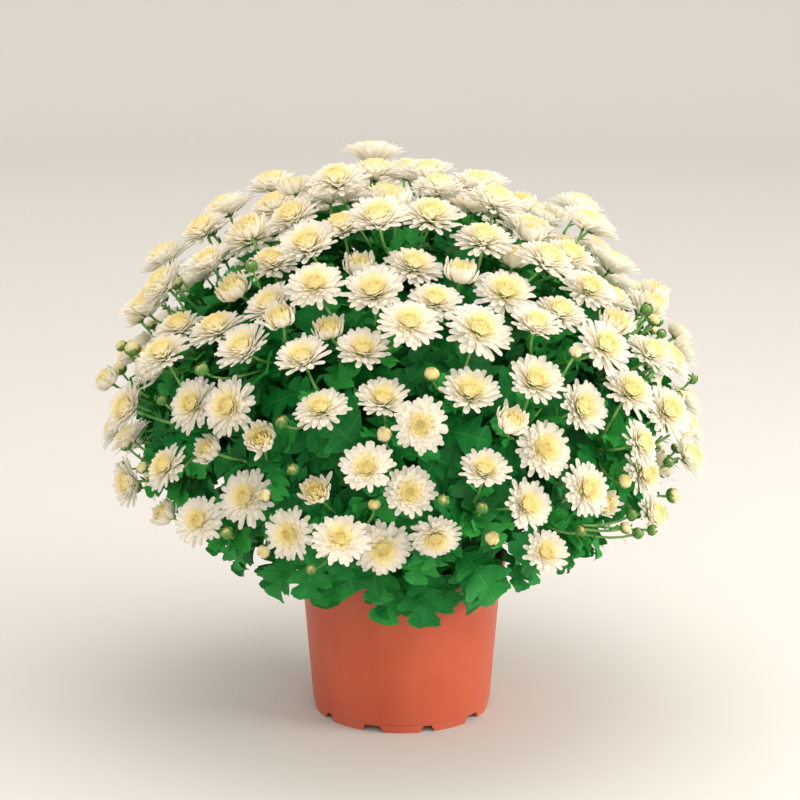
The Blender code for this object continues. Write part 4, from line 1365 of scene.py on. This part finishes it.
floret_set = floret_shapes(CUP_FLORET, TUCKED_FLORET, INMOST_FLORET)
cups = []
for kind in range(CUP_KINDS):
    rng = random.Random(60 + kind)
    cups.append(made_by(spiral, f"cup_{kind}", {
        "Floret Shapes": floret_set, "Shape Count": 3.0, "Florets": rng.randint(76, 90),
        "Outer Length": rng.uniform(0.0200, 0.0225), "Inner Length": 0.0115,
        "Outer Width": 0.0050, "Inner Width": 0.0028,
        "Outer Pitch": rng.uniform(-0.02, 0.18), "Inner Pitch": 1.12,
        "Pitch Curve": 1.25, "Length Curve": 1.4,
        "Foot Radius": 0.0032, "Foot Height": -0.0090, "Top Height": -0.0055,
        "Disorder": 0.09, "Seed": kind + 21}))
cup_set = shape_set("cups", cups)
chosen = [head for head in heads if head["stage"] == "half_open"]
spots = head_spots(chosen, CUP_RADIUS, CUP_KINDS, 9, CUP_TONES)
half_open = set_out_at("half_open_blooms", spots, cup_set, petal_skin)
discard(cup_set, floret_set)
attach(half_open, "root")
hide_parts(*spray_nodes)


# The buds: round and tightly shut, 8 to 15 mm across. The larger ones already show their cream
# florets, folded over one another. The smaller ones are still wrapped in green.

BUD_RADIUS = 0.0058
BUD_KINDS = 4
BUD_TONES = (0.36, 0.54)
SHUT_FLORET = (((0, 0.20), (0.25, 0.48), (0.5, 0.60), (0.75, 0.50), (1, 0.12)), (-0.10, 2.75), 0.35)

floret_set = floret_shapes(SHUT_FLORET)
buds = []
for kind in range(BUD_KINDS):
    buds.append(made_by(spiral, f"bud_{kind}", {
        "Floret Shapes": floret_set, "Shape Count": 1.0, "Florets": 26,
        "Outer Length": 0.0132, "Inner Length": 0.0104, "Outer Width": 0.0050, "Inner Width": 0.0036,
        "Outer Pitch": 0.10, "Inner Pitch": 0.55, "Pitch Curve": 1.0, "Length Curve": 1.0,
        "Foot Radius": 0.0014, "Foot Height": -0.0056, "Top Height": -0.0045,
        "Disorder": 0.05, "Seed": kind + 31}))
bud_set = shape_set("buds", buds)
chosen = [head for head in heads if head["stage"] == "bud"]
spots = head_spots(chosen, BUD_RADIUS, BUD_KINDS, 10, BUD_TONES)
cream_buds = set_out_at("cream_buds", spots, bud_set, petal_skin)
discard(bud_set, floret_set)
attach(cream_buds, "root")
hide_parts(*spray_nodes)


# The calyces: a cup of small overlapping green bracts with dry pale edges under each bloom,
# which wraps the foot of a bud up to half its height or more.

BLOOM_BRACT = (((0, 0.30), (0.4, 0.50), (0.75, 0.44), (1, 0.12)), (0.0, 0.9), 0.30)
BUD_BRACT = (((0, 0.34), (0.3, 0.52), (0.7, 0.50), (0.9, 0.30), (1, 0.10)), (0.05, 1.50), 0.10)
WRAP_BRACT = (((0, 0.34), (0.3, 0.60), (0.6, 0.58), (0.85, 0.36), (1, 0.06)), (0.05, 2.60), 0.10)
BRACT_WIDTH = 0.0040
GREEN_BUD = 0.0052
# For each kind of head: its bract, the radius that its calyx is drawn for, and the calyx itself
CALYCES = {
    "open": (BLOOM_BRACT, BLOOM_RADIUS, {
        "Florets": 15, "Outer Length": 0.0062, "Inner Length": 0.0075, "Outer Pitch": 0.35,
        "Inner Pitch": 0.15, "Foot Radius": 0.0016, "Foot Height": -0.0078, "Top Height": -0.0068}),
    "half_open": (BLOOM_BRACT, CUP_RADIUS, {
        "Florets": 15, "Outer Length": 0.0075, "Inner Length": 0.0088, "Outer Pitch": 0.40,
        "Inner Pitch": 0.30, "Foot Radius": 0.0016, "Foot Height": -0.0102, "Top Height": -0.0094}),
    "bud": (BUD_BRACT, BUD_RADIUS * 0.96, {
        "Florets": 16, "Outer Length": 0.0070, "Inner Length": 0.0088, "Outer Pitch": 0.05,
        "Inner Pitch": 0.0, "Foot Radius": 0.0012, "Foot Height": -0.0063, "Top Height": -0.0060}),
    "green_bud": (WRAP_BRACT, BUD_RADIUS * 0.88, {
        "Florets": 18, "Outer Length": 0.0125, "Inner Length": 0.0146, "Outer Pitch": 0.05,
        "Inner Pitch": 0.0, "Foot Radius": 0.0012, "Foot Height": -0.0064, "Top Height": -0.0060}),
}
BRACT_GREEN = "#3f7a30"
BRACT_PALE = "#86ab5c"


def calyx_of(head):
    """Which calyx a head has: the smallest buds are still wrapped in theirs."""
    return "green_bud" if head["stage"] == "bud" and head["radius"] < GREEN_BUD else head["stage"]


def bract_finish():
    """Calyx bract: firm, a little downy, mid green with a paler dry edge."""
    made, tree, shader = new_finish("calyx_bract", Roughness=0.55, Specular_IOR_Level=0.35)
    across, along = blade_places(tree)
    edge = mapped(tree, distance_from(tree, across, 0.5), 0.25, 0.5, 0.0, 0.55)
    pale = calc(tree, "MAXIMUM", edge, mapped(tree, along, 0.6, 1.0, 0.0, 0.6))
    wire(tree, shader, {"Base Color": ramp(tree, pale, [(0.0, BRACT_GREEN), (0.7, BRACT_PALE)])})
    return made


calyces, calyx_spots = [], []
for number, (kind, (bract, full_radius, sizes)) in enumerate(CALYCES.items()):
    bract_set = floret_shapes(bract)
    calyces.append(made_by(spiral, f"calyx_{number}", {
        "Floret Shapes": bract_set, "Shape Count": 1.0, "Outer Width": BRACT_WIDTH,
        "Inner Width": BRACT_WIDTH, "Pitch Curve": 1.0, "Length Curve": 1.0, "Disorder": 0.06,
        "Seed": number + 51, **sizes}))
    discard(bract_set)
    for spot in head_spots([head for head in heads if calyx_of(head) == kind], full_radius, 1, 12):
        calyx_spots.append((*spot[:3], number, spot[4]))
calyx_set = shape_set("calyces", calyces)
calyx = set_out_at("calyces", calyx_spots, calyx_set, bract_finish())
discard(calyx_set)
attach(calyx, "root")
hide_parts(*spray_nodes)


# The place it stands in: a plain pale sweep of matt paper, floor and backdrop in one, that runs
# all the way round. It isn't part of the object.

SWEEP_INNER = 0.6
SWEEP_FLAT = 4.0
SWEEP_BEND = 0.9
SWEEP_BEND_STEPS = 12
SWEEP_TOP = 1.9
SWEEP_SIDES = 96
SWEEP_PALE = "#d8d7d5"


def sweep_mesh():
    line = [(SWEEP_INNER, 0.0), (SWEEP_FLAT, 0.0)]
    for k in range(1, SWEEP_BEND_STEPS + 1):
        angle = math.pi / 2 * k / SWEEP_BEND_STEPS
        line.append((SWEEP_FLAT + SWEEP_BEND * math.sin(angle), SWEEP_BEND * (1 - math.cos(angle))))
    line.append((SWEEP_FLAT + SWEEP_BEND, SWEEP_TOP))
    points = []
    for radius, height in line:
        for k in range(SWEEP_SIDES):
            angle = 2 * math.pi * k / SWEEP_SIDES
            points.append((radius * math.cos(angle), radius * math.sin(angle), height))
    mesh = plain_mesh("sweep", points, [tuple(range(SWEEP_SIDES))] + round_faces(len(line), SWEEP_SIDES))
    mesh.polygons.foreach_set("use_smooth", [True] * len(mesh.polygons))
    return mesh


paper, _, paper_shader = new_finish("matt_paper", Roughness=0.85, Specular_IOR_Level=0.2)
paper_shader.inputs["Base Color"].default_value = linear(SWEEP_PALE)
sweep = bpy.data.objects.new("sweep", sweep_mesh())
sweep.data.materials.append(paper)
bpy.context.scene.collection.objects.link(sweep)


# The light: a large soft window light from the right and above, a weaker soft fill from in
# front, a soft light overhead, and a pale room all round.

LIGHT_AIM = Vector((0, 0, 0.28))
DAYLIGHT = "#fff5ea"
FILL_LIGHT = "#fff6ec"
ROOM_LIGHT = "#f4eee6"
ROOM_STRENGTH = 1.24


def soft_light(name, place, size, power, colour):
    light = bpy.data.lights.new(name, "AREA")
    light.shape = "SQUARE"
    light.size = size
    light.energy = power
    light.color = linear(colour)[:3]
    lamp = bpy.data.objects.new(name, light)
    lamp.location = place
    lamp.rotation_euler = (LIGHT_AIM - Vector(place)).to_track_quat("-Z", "Y").to_euler()
    bpy.context.scene.collection.objects.link(lamp)


soft_light("window", (2.2, -0.7, 1.05), 1.2, 40, DAYLIGHT)
soft_light("fill", (0.4, -2.5, 1.1), 1.8, 13, FILL_LIGHT)
soft_light("overhead", (0.2, -0.1, 2.3), 1.8, 14, DAYLIGHT)
room = bpy.data.worlds.new("room")
room.use_nodes = True
wire(room.node_tree, room.node_tree.nodes["Background"],
     {"Color": linear(ROOM_LIGHT), "Strength": ROOM_STRENGTH})
bpy.context.scene.world = room
bpy.context.scene.view_settings.view_transform = "Standard"


# The camera: at the photograph's own place, a little above the plant and looking down at it.

CAMERA_PLACE = (-0.0014, -2.111, 0.8105)
CAMERA_TILT = math.radians(13.7)
SENSOR_WIDTH = 36
PICTURE_WIDTH_PIXELS = 800
FOCAL_LENGTH_PIXELS = 2350

lens = bpy.data.cameras.new("camera")
lens.sensor_width = SENSOR_WIDTH
lens.lens = FOCAL_LENGTH_PIXELS / PICTURE_WIDTH_PIXELS * SENSOR_WIDTH
camera = bpy.data.objects.new("camera", lens)
camera.location = CAMERA_PLACE
camera.rotation_euler = (math.radians(90) - CAMERA_TILT, 0, 0)
bpy.context.scene.collection.objects.link(camera)
bpy.context.scene.camera = camera
